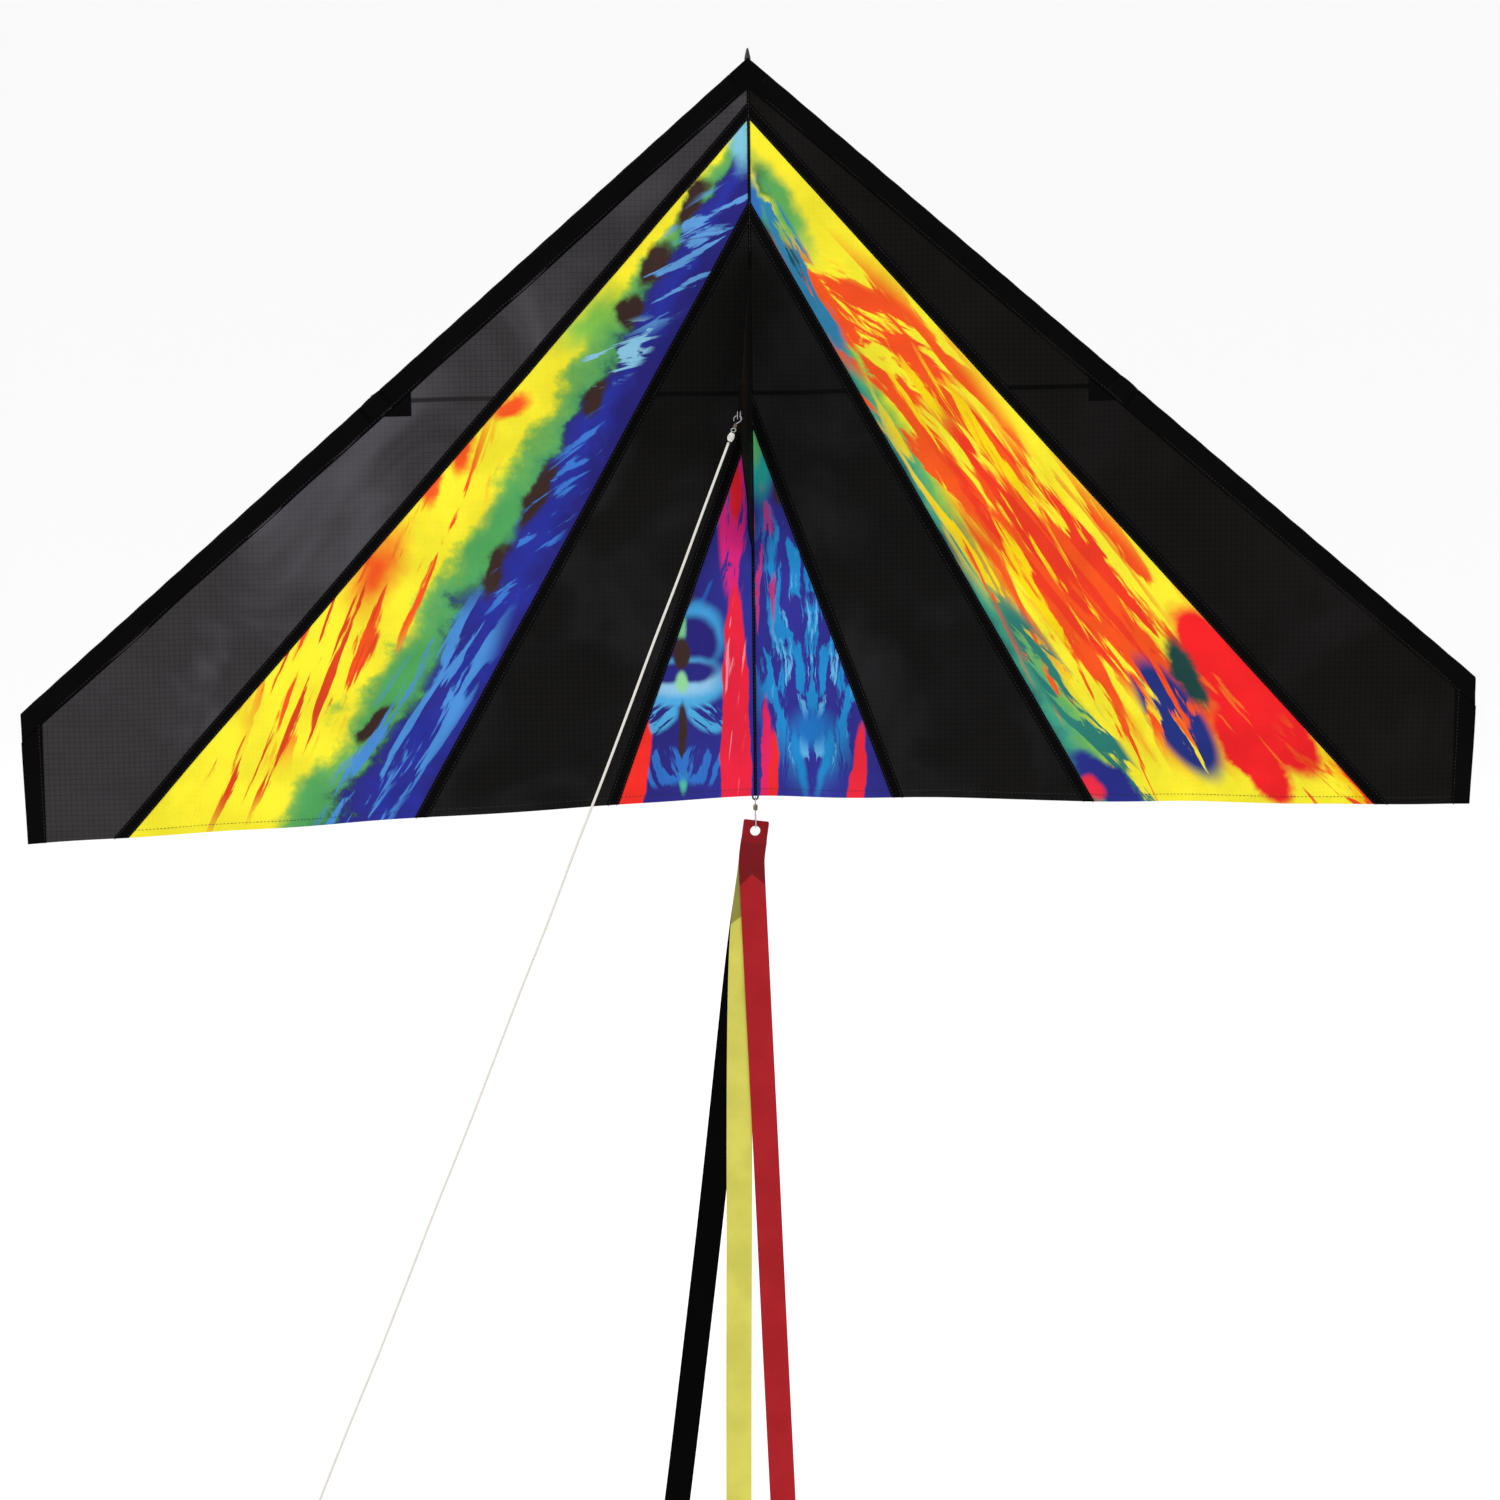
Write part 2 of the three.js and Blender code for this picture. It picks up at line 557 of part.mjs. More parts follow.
// ---- Spreader: one rod with a moulded cap on each end ----
function addSpreader() {
  const spreader = new THREE.Group();
  spreader.position.set(0, SPREADER_Y, -SPREADER_DROP);
  spreader.rotation.y = Math.PI / 2;
  kite.add(spreader);
  const half = spreaderHalf();
  const rodHalf = half - CAP_FLOOR - GAP;
  add("spreader_rod", rod(ROD_R, -rodHalf, rodHalf), ROD_FINISH, spreader);
  const rightCap = cap(SPREADER_CAP).translate(0, 0, half);
  add("right_spreader_cap", rightCap, MOULDED, spreader);
  const leftCap = cap(SPREADER_CAP).rotateX(Math.PI).translate(0, 0, -half);
  add("left_spreader_cap", leftCap, MOULDED, spreader);
}

// ---- Keel: drawn as reach from its hinge line and height, then turned to stand in front of the spine ----
function addKeel() {
  const keel = new THREE.Group();
  keel.position.y = KEEL_AXIS_Y;
  keel.rotation.z = degrees(KEEL_SWING);
  kite.add(keel);
  const tow = point(TOW_REACH, -TOW_DROP);
  const top = point(KEEL_ROOT, -KEEL_TOP);
  const foot = point(KEEL_ROOT, -KEEL_FOOT);
  const topAngle = tangentAngle(tow, top, TOW_LOBE, -1);
  const footAngle = tangentAngle(tow, foot, TOW_LOBE, 1);
  const onLobe = (angle) =>
    point(Math.cos(angle), Math.sin(angle)).multiplyScalar(TOW_LOBE).add(tow);
  const front = edge(top, onLobe(topAngle));
  const rear = edge(onLobe(footAngle), foot);
  const flat = (outline, thick, holes) =>
    plate(outline, -thick / 2, thick / 2, holes).rotateZ(-Math.PI / 2);

  const root = upright(KEEL_ROOT);
  const patchLine = upright(KEEL_PATCH_START);
  const clothEnd = upright(KEEL_PATCH_START - GAP);
  const bandStart = upright(KEEL_BAND_START);
  const innerFront = shift(front, KEEL_BAND + GAP);
  const innerRear = shift(rear, KEEL_BAND + GAP);
  add("keel_panel", flat(ring(innerFront, clothEnd, innerRear, root), CLOTH), BLACK_CLOTH, keel);
  const frontBand = ring(front, clothEnd, shift(front, KEEL_BAND), bandStart);
  add("keel_front_binding", flat(frontBand, HEM), BLACK_TAPE, keel);
  const rearBand = ring(clothEnd, rear, bandStart, shift(rear, KEEL_BAND));
  add("keel_rear_binding", flat(rearBand, HEM), BLACK_TAPE, keel);

  const tip = new THREE.Shape();
  const patchTop = meet(front, patchLine);
  const patchFoot = meet(rear, patchLine);
  tip.moveTo(patchTop.x, patchTop.y);
  tip.lineTo(patchFoot.x, patchFoot.y);
  tip.absarc(tow.x, tow.y, TOW_LOBE, footAngle, topAngle, false);
  tip.closePath();
  const collar = EYELET_BORE + EYELET_WALL;
  const tipHole = circle(tow, collar + GAP);
  add("keel_tip_patch", flat(tip.getPoints(SMALL_ROUND), HEM, [tipHole]), BLACK_TAPE, keel);

  const flange = HEM / 2 + GAP;
  const rim = flange + TAPE;
  const eyelet = turned([
    [EYELET_BORE, -rim],
    [EYELET_FLANGE, -rim],
    [EYELET_FLANGE, -flange],
    [collar, -flange],
    [collar, flange],
    [EYELET_FLANGE, flange],
    [EYELET_FLANGE, rim],
    [EYELET_BORE, rim],
    [EYELET_BORE, -rim],
  ]);
  eyelet.rotateY(Math.PI / 2).translate(0, -TOW_REACH, -TOW_DROP);
  add("tow_eyelet", eyelet, STEEL, keel);
  return keel;
}

// The angle, seen from a circle's middle, of the tangent that comes from an outside point.
function tangentAngle(middle, outside, radius, turn) {
  const way = outside.clone().sub(middle);
  return Math.atan2(way.y, way.x) + turn * Math.acos(radius / way.length());
}

// ---- Swivels: a wire snap, a barrel and a wire eye on one axis ----
// A wire loop in the YZ plane from the height of its bow to its neck, with its stem in the barrel.
function snap(bow, neck, stemEnd, half, radius) {
  const up = Math.sign(bow - neck) * half;
  const stops = SNAP_STOPS.map((stop) => {
    const height = stop.neck === undefined ? bow - up * stop.bow : neck + up * stop.neck;
    return new THREE.Vector3(0, stop.across * half, height);
  });
  const stem = [stemEnd, (neck * 2 + stemEnd) / 3].map((z) => new THREE.Vector3(0, 0, z));
  const curve = new THREE.CatmullRomCurve3([...stem, ...stops], false, "centripetal");
  return wire(curve, radius, SNAP_STEPS);
}

// A ring with a stem into the barrel.
function eye(middle, radius, thick, stemEnd) {
  const loop = new THREE.TorusGeometry(radius, thick, SMALL_ROUND, ROUND);
  loop.rotateY(Math.PI / 2).translate(0, 0, middle);
  const near = middle + Math.sign(stemEnd - middle) * radius;
  const stem = rod(thick, Math.min(near, stemEnd), Math.max(near, stemEnd));
  return join(loop, stem);
}

// A turned barrel with a running bore for both stems.
function barrel(top, foot, radius, bore) {
  const neck = (radius + bore) / 2;
  const shoulder = (top - foot) * BARREL_SHOULDER;
  return turned([
    [bore, foot],
    [neck, foot],
    [radius, foot + shoulder],
    [radius, top - shoulder],
    [neck, top],
    [bore, top],
    [bore, foot],
  ]);
}

function addTow(keel) {
  keel.updateMatrixWorld(true);
  const tow = keel.localToWorld(new THREE.Vector3(0, -TOW_REACH, -TOW_DROP));
  const start = new THREE.Vector3(...LINE_ROUTE[0]);
  const way = start.clone().sub(tow).normalize();
  const normal = new THREE.Vector3(1, 0, 0).transformDirection(keel.matrixWorld);
  const yAxis = normal.addScaledVector(way, -normal.dot(way)).normalize();
  const zAxis = way.clone().negate();
  const xAxis = new THREE.Vector3().crossVectors(yAxis, zAxis);
  const chain = new THREE.Group();
  chain.quaternion.setFromRotationMatrix(new THREE.Matrix4().makeBasis(xAxis, yAxis, zAxis));
  chain.position.copy(tow).addScaledVector(way, TOW_SEAT);
  kite.add(chain);

  const barrelTop = -TOW_LOOP - SNAP_NECK;
  const barrelFoot = barrelTop - TOW_BARREL;
  const middle = (barrelTop + barrelFoot) / 2;
  add("tow_snap", snap(0, -TOW_LOOP, middle + GAP, TOW_SNAP_HALF, TOW_WIRE), STEEL, chain);
  const barrelSolid = barrel(barrelTop, barrelFoot, TOW_BARREL_R, TOW_WIRE + GAP);
  add("tow_barrel", barrelSolid, BRASS_DARK, chain);
  const eyeMiddle = barrelFoot - 2 * TOW_WIRE - TOW_EYE_R;
  add("tow_eye", eye(eyeMiddle, TOW_EYE_R, TOW_WIRE, middle - GAP), STEEL, chain);

  const knotTop = eyeMiddle - TOW_EYE_R - TOW_WIRE - GAP;
  const knotFoot = -start.distanceTo(chain.position) + GAP;
  add("line_knot", knot(knotTop, knotFoot, KNOT_R), WHITE_BRAID, chain);
  addLine();
}

// A knot stands as one turned body, fullest near its top.
function knot(top, foot, radius) {
  const side = KNOT_STOPS.map(([out, down]) => [radius * out, top - (top - foot) * down]);
  return turned([[0, top], ...side, [0, foot], [0, top]], SMALL_ROUND);
}

function addLine() {
  const stops = LINE_ROUTE.map((stop) => new THREE.Vector3(...stop));
  const route = new THREE.CatmullRomCurve3(stops);
  add("flying_line", wire(route, LINE_R, LINE_STEPS), WHITE_BRAID);
  const end = stops[stops.length - 1];
  const way = end.clone().sub(stops[stops.length - 2]).normalize();
  const stopper = new THREE.Group();
  stopper.position.copy(end).addScaledVector(way, GAP);
  stopper.quaternion.setFromUnitVectors(new THREE.Vector3(0, 0, -1), way);
  kite.add(stopper);
  add("line_end_knot", knot(0, -END_KNOT, END_KNOT_R), WHITE_BRAID, stopper);
}

// ---- Tail: loop on the sail, swivel, tab and three ribbons ----
function addTail() {
  const tail = new THREE.Group();
  tail.position.y = TAIL_Y;
  kite.add(tail);
  const loopMiddle = point(0, -LOOP_DROP);
  const loop = new THREE.Shape();
  loop.moveTo(LOOP_R, -LOOP_TOP);
  loop.lineTo(-LOOP_R, -LOOP_TOP);
  loop.absarc(0, -LOOP_DROP, LOOP_R, Math.PI, 2 * Math.PI, false);
  loop.closePath();
  const loopHoles = [circle(loopMiddle, LOOP_BORE)];
  const loopSolid = plate(loop.getPoints(SMALL_ROUND), -LOOP_THICK / 2, LOOP_THICK / 2, loopHoles);
  add("tail_loop", loopSolid, BLACK_TAPE, tail);

  const eyeTop = -LOOP_DROP - GAP;
  const eyeMiddle = eyeTop - TAIL_EYE_R;
  const barrelTop = eyeMiddle - TAIL_EYE_R - 2 * TAIL_WIRE;
  const barrelFoot = barrelTop - TAIL_BARREL;
  const middle = (barrelTop + barrelFoot) / 2;
  add("tail_eye", eye(eyeMiddle, TAIL_EYE_R, TAIL_WIRE, middle + GAP), STEEL, tail);
  const barrelSolid = barrel(barrelTop, barrelFoot, TAIL_BARREL_R, TAIL_WIRE + GAP);
  add("tail_barrel", barrelSolid, BRASS_DARK, tail);
  const neck = barrelFoot - SNAP_NECK;
  const bow = neck - TAIL_LOOP;
  add("tail_snap", snap(bow, neck, middle - GAP, TAIL_SNAP_HALF, TAIL_WIRE), STEEL, tail);

  // The tab hangs on the snap's bow by the top of its hole.
  const tab = new THREE.Group();
  tab.position.set(0, 0, bow);
  tab.rotation.y = -degrees(TAB_TILT);
  tail.add(tab);
  const halfWidth = TAB_WIDTH / 2;
  const tabOutline = [
    point(-halfWidth, TAB_ABOVE),
    point(halfWidth, TAB_ABOVE),
    point(halfWidth, -TAB_BELOW),
    point(-halfWidth, -TAB_BELOW),
  ];
  const hole = circle(point(0, TAB_SEAT - TAB_HOLE_R), TAB_HOLE_R);
  add("tail_tab", plate(tabOutline, -TAB_THICK / 2, TAB_THICK / 2, [hole]), TAB_RED, tab);

  tab.updateMatrix();
  const seat = new THREE.Vector3(0, 0, -TAB_BELOW - GAP).applyMatrix4(tab.matrix);
  const under = new THREE.Vector3(0, 0, -1).applyMatrix4(tab.matrix).sub(tab.position);
  const ribbons = [
    ["ribbon_red", RED, RIBBON_RED],
    ["ribbon_yellow", YELLOW, RIBBON_YELLOW],
    ["ribbon_black", BLACK, RIBBON_BLACK],
  ];
  ribbons.forEach(([name, look, route], i) => {
    const outline = ribbonOutline(point(seat.x, seat.z), point(under.x, under.z), route);
    const front = (i - 1) * RIBBON_STEP - CLOTH / 2;
    add(name, plate(outline, front, front + CLOTH), look, tail);
  });
}

// The outline of a ribbon of even width along a smooth middle line that leaves the tab squarely.
function ribbonOutline(seat, under, route) {
  const stops = [seat, seat.clone().addScaledVector(under, RIBBON_WIDTH / 4)];
  stops.push(...route.map(([x, drop]) => point(x, -SPINE_LENGTH - drop)));
  const middle = new THREE.SplineCurve(stops);
  const left = [];
  const right = [];
  for (let i = 0; i <= RIBBON_STEPS; i += 1) {
    const at = middle.getPoint(i / RIBBON_STEPS);
    const way = i === 0 ? under : middle.getTangent(i / RIBBON_STEPS);
    const side = point(way.y, -way.x).multiplyScalar(RIBBON_WIDTH / 2);
    left.push(at.clone().sub(side));
    right.unshift(at.clone().add(side));
  }
  return [...left, ...right];
}

addSpine();
addWing("left", -1);
addWing("right", 1);
addSpreader();
addTow(addKeel());
addTail();

export default kite;
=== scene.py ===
"""Looks of a single-line delta kite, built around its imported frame.

Metres. The nose is the origin, +Z runs up the spine, X across the span, and the keel points along -Y.
"""
import logging
import math
from dataclasses import dataclass, field
from enum import Enum
from typing import Callable, Iterable, Sequence

import bmesh
import bpy
import numpy as np
from mathutils import Matrix, Vector


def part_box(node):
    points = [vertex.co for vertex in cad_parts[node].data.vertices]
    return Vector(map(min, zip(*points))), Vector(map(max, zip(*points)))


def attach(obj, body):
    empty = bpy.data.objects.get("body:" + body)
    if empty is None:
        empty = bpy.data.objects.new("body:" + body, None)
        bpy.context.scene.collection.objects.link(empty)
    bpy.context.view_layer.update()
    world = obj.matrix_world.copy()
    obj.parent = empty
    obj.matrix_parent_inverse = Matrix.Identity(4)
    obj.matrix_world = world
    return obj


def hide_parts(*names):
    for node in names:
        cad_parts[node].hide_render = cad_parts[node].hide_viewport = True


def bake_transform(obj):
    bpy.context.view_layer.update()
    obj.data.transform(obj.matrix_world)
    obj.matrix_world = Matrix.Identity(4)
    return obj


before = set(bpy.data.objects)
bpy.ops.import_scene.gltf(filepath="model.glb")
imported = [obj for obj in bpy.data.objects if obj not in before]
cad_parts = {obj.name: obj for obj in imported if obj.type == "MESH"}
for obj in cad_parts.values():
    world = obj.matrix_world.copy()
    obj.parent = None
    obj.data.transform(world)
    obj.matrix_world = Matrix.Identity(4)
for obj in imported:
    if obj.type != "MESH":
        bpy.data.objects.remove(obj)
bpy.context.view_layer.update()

LOG = logging.getLogger("delta_kite")
MM = 0.001
SPREADER_DROP = 0.323
RIBBON_MIDDLE = 0.0127
BLACK = (0.0, 0.0, 0.0, 1.0)
Socket = bpy.types.NodeSocket
NodeTree = bpy.types.NodeTree
Piece = bpy.types.Object
Material = bpy.types.Material
Spot = tuple[float, float]
Point = tuple[float, float, float]


class Side(Enum):
    """The two halves of the sail, with the sign that X has there."""

    LEFT = -1
    RIGHT = 1

    @property
    def word(self) -> str:
        """The word that starts the names of this side's parts."""
        return self.name.lower()


class Seam(Enum):
    """The three panel seams: apex below the nose and end on the trailing edge, in millimetres."""

    OUTER = (50.0, 619.0)
    INNER = (147.5, 327.0)
    CENTRE = (338.0, 140.0)


def linear(code: str) -> tuple[float, float, float, float]:
    """Turns a hex colour into linear light.

    Args:
        code: six hex digits of an sRGB colour.

    Returns:
        Red, green, blue and an alpha of one.
    """
    parts = [int(code[i:i + 2], 16) / 255 for i in (0, 2, 4)]
    bright = [p / 12.92 if p <= 0.04045 else ((p + 0.055) / 1.055) ** 2.4 for p in parts]
    return (*bright, 1.0)


# ---------------------------------------------------------------- shader groups


class Tree:
    """A node tree that is filled node by node."""

    def __init__(self, tree: NodeTree) -> None:
        """Takes the tree to fill."""
        self.tree = tree

    def add(self, kind: str, inputs: dict | None = None, **settings: object) -> bpy.types.Node:
        """Adds a node.

        Args:
            kind: the node's type name.
            inputs: values or output sockets by input name or index.
            settings: the node's own properties.

        Returns:
            The new node.
        """
        node = self.tree.nodes.new(kind)
        for key, value in settings.items():
            setattr(node, key, value)
        for key, value in (inputs or {}).items():
            if isinstance(value, Socket):
                self.tree.links.new(value, node.inputs[key])
            else:
                node.inputs[key].default_value = value
        return node

    def math(self, operation: str, first: object, second: object = 0.0) -> Socket:
        """Adds a math node and returns its value."""
        node = self.add("ShaderNodeMath", {0: first, 1: second}, operation=operation)
        return node.outputs[0]

    def ramp(self, value: object, low: float, high: float, to_low: float = 0.0,
             to_high: float = 1.0) -> Socket:
        """Maps a value smoothly from one range to another and returns it.

        Args:
            value: what is mapped.
            low: start of its range.
            high: end of its range.
            to_low: result at the start.
            to_high: result at the end.

        Returns:
            The result.
        """
        inputs = {0: value, 1: low, 2: high, 3: to_low, 4: to_high}
        node = self.add("ShaderNodeMapRange", inputs, interpolation_type="SMOOTHSTEP")
        return node.outputs[0]

    def mix(self, share: object, first: object, second: object, way: str = "MIX") -> Socket:
        """Mixes two colours and returns the result."""
        node = self.add("ShaderNodeMix", {0: share, 6: first, 7: second}, data_type="RGBA", blend_type=way)
        return node.outputs[2]


class GroupKit:
    """The shader groups that several finishes share, each made once."""

    def __init__(self) -> None:
        """Makes every group."""
        self.bleed = self._bleed()
        self.blot = self._blot()
        self.streaks = self._streaks()
        self.ripstop = self._ripstop()
        self.handling = self._handling()

    @staticmethod
    def _start(name: str, inputs: Sequence[tuple[str, str, object]],
               outputs: Sequence[tuple[str, str]]) -> tuple[Tree, bpy.types.Node, bpy.types.Node]:
        """Starts a group with named sockets.

        Args:
            name: the group's name.
            inputs: name, kind and starting value of each input.
            outputs: name and kind of each output.

        Returns:
            The tree, its input node and its output node.
        """
        group = bpy.data.node_groups.new(name, "ShaderNodeTree")
        for label, kind, value in inputs:
            socket = group.interface.new_socket(label, in_out="INPUT", socket_type="NodeSocket" + kind)
            if value is not None:
                socket.default_value = value
        for label, kind in outputs:
            group.interface.new_socket(label, in_out="OUTPUT", socket_type="NodeSocket" + kind)
        tree = Tree(group)
        return tree, tree.add("NodeGroupInput"), tree.add("NodeGroupOutput")

    def _bleed(self) -> NodeTree:
        """Dye that creeps: the place is pushed about by coarse and fine noise."""
        tree, start, end = self._start("dye bleed", [
            ("Place", "Vector", None), ("Reach", "Float", 0.03), ("Fineness", "Float", 14.0),
        ], [("Place", "Vector")])
        place = start.outputs["Place"]
        noise = tree.add("ShaderNodeTexNoise", {
            "Vector": place, "Scale": start.outputs["Fineness"], "Detail": 5.0, "Roughness": 0.58,
        })
        centred = tree.add("ShaderNodeVectorMath", {0: noise.outputs["Color"], 1: (0.5, 0.5, 0.5)},
                           operation="SUBTRACT")
        push = tree.add("ShaderNodeVectorMath", {0: centred.outputs[0]}, operation="SCALE")
        tree.tree.links.new(start.outputs["Reach"], push.inputs["Scale"])
        moved = tree.add("ShaderNodeVectorMath", {0: place, 1: push.outputs[0]}, operation="ADD")
        tree.tree.links.new(moved.outputs[0], end.inputs["Place"])
        return tree.tree

    def _region(self, tree: Tree, place: object, centre: object, size: object, turn: object) -> Socket:
        """Distance from a turned oval's middle, one at its rim.

        Args:
            tree: the group's tree.
            place: the place on the flat cloth.
            centre: the oval's middle.
            size: its half sizes.
            turn: its turn in radians.

        Returns:
            The distance.
        """
        spin = tree.add("ShaderNodeCombineXYZ", {2: turn})
        inside = tree.add("ShaderNodeMapping", {
            "Vector": place, "Location": centre, "Rotation": spin.outputs[0], "Scale": size,
        }, vector_type="TEXTURE")
        flat = tree.add("ShaderNodeVectorMath", {0: inside.outputs[0], 1: (1, 1, 0)}, operation="MULTIPLY")
        return tree.add("ShaderNodeVectorMath", {0: flat.outputs[0]}, operation="LENGTH").outputs["Value"]

    def _blot(self) -> NodeTree:
        """One blot of dye over what is already there."""
        tree, start, end = self._start("dye blot", [
            ("Place", "Vector", None), ("Base", "Color", None), ("Colour", "Color", None),
            ("Centre", "Vector", None), ("Size", "Vector", None), ("Turn", "Float", 0.0),
            ("Edge", "Float", 0.2),
        ], [("Color", "Color")])
        out = start.outputs
        reach = self._region(tree, out["Place"], out["Centre"], out["Size"], out["Turn"])
        rim = tree.math("DIVIDE", tree.math("SUBTRACT", 1.0, reach), out["Edge"])
        share = tree.ramp(rim, -1.0, 1.0)
        colour = tree.mix(share, out["Base"], out["Colour"])
        tree.tree.links.new(colour, end.inputs["Color"])
        return tree.tree

    def _streaks(self) -> NodeTree:
        """Flame-like streaks of dye inside a soft oval."""
        tree, start, end = self._start("dye streaks", [
            ("Place", "Vector", None), ("Base", "Color", None), ("Colour", "Color", None),
            ("Centre", "Vector", None), ("Size", "Vector", None), ("Turn", "Float", 0.0),
            ("Flow", "Float", 0.0), ("Fineness", "Float", 60.0), ("Stretch", "Float", 5.0),
            ("Bare", "Float", 0.55),
        ], [("Color", "Color")])
        out = start.outputs
        reach = self._region(tree, out["Place"], out["Centre"], out["Size"], out["Turn"])
        spin = tree.add("ShaderNodeCombineXYZ", {2: tree.math("MULTIPLY", out["Flow"], -1.0)})
        along = tree.math("DIVIDE", 1.0, out["Stretch"])
        turned = tree.add("ShaderNodeVectorRotate", {
            "Vector": out["Place"], "Rotation": spin.outputs[0],
        }, rotation_type="EULER_XYZ")
        drawn = tree.add("ShaderNodeVectorMath", {
            0: turned.outputs[0], 1: tree.add("ShaderNodeCombineXYZ", {0: along, 1: 1.0, 2: 1.0}).outputs[0],
        }, operation="MULTIPLY")
        noise = tree.add("ShaderNodeTexNoise", {
            "Vector": drawn.outputs[0], "Scale": out["Fineness"], "Detail": 6.0, "Roughness": 0.55,
            "Distortion": 0.5,
        })
        level = tree.math("SUBTRACT", noise.outputs[0], out["Bare"])
        mark = tree.ramp(level, -0.015, 0.03)
        share = tree.math("MULTIPLY", mark, tree.ramp(reach, 1.15, 0.75))
        colour = tree.mix(share, out["Base"], out["Colour"])
        tree.tree.links.new(colour, end.inputs["Color"])
        return tree.tree

    def _ripstop(self) -> NodeTree:
        """The thicker threads that cross in squares, and the fine plain weave between them."""
        tree, start, end = self._start("ripstop weave", [
            ("Place", "Vector", None), ("Cell", "Float", 0.005), ("Thread", "Float", 0.1),
            ("Weave", "Float", 0.0006),
        ], [("Grid", "Float"), ("Height", "Float")])
        parts = tree.add("ShaderNodeSeparateXYZ", {0: start.outputs["Place"]})
        lines = []
        waves = []
        for axis in (0, 1):
            cells = tree.math("DIVIDE", parts.outputs[axis], start.outputs["Cell"])
            away = tree.math("PINGPONG", cells, 0.5)
            beside = tree.math("MINIMUM", tree.math("DIVIDE", away, start.outputs["Thread"]), 1.0)
            lines.append(tree.math("SUBTRACT", 1.0, beside))
            turns = tree.math("DIVIDE", parts.outputs[axis], start.outputs["Weave"])
            waves.append(tree.math("SINE", tree.math("MULTIPLY", turns, 2 * math.pi)))
        grid = tree.math("MAXIMUM", lines[0], lines[1])
        weave = tree.math("MULTIPLY", tree.math("MULTIPLY", waves[0], waves[1]), 0.25)
        tree.tree.links.new(grid, end.inputs["Grid"])
        tree.tree.links.new(tree.math("ADD", grid, weave), end.inputs["Height"])
        return tree.tree

    def _handling(self) -> NodeTree:
        """Soft creases and rubbed places from packing and use."""
        tree, start, end = self._start("handling marks", [
            ("Place", "Vector", None), ("Fineness", "Float", 18.0),
        ], [("Rub", "Float"), ("Crease", "Float")])
        rub = tree.add("ShaderNodeTexNoise", {
            "Vector": start.outputs["Place"], "Scale": start.outputs["Fineness"], "Detail": 4.0,
        })
        fold = tree.add("ShaderNodeTexNoise", {
            "Vector": start.outputs["Place"], "Scale": tree.math("MULTIPLY", start.outputs["Fineness"], 1.7),
            "Detail": 2.0, "Distortion": 1.2,
        })
        ridge = tree.math("ABSOLUTE", tree.math("SUBTRACT", fold.outputs[0], 0.5))
        tree.tree.links.new(tree.ramp(rub.outputs[0], 0.3, 0.7), end.inputs["Rub"])
        tree.tree.links.new(tree.ramp(ridge, 0.0, 0.06), end.inputs["Crease"])
        return tree.tree


# ---------------------------------------------------------------- finishes


@dataclass(frozen=True)
class Blot:
    """One blot of dye: middle and half sizes in metres, turn in degrees."""

    colour: str
    centre: Spot
    size: Spot
    turn: float = 0.0
    edge: float = 0.25
    paired: bool = False


@dataclass(frozen=True)
class Streaks:
    """Streaks of dye inside a soft oval, flowing along one direction."""

    colour: str
    centre: Spot
    size: Spot
    turn: float
    flow: float
    fineness: float = 60.0
    stretch: float = 5.0
    bare: float = 0.55
    paired: bool = False


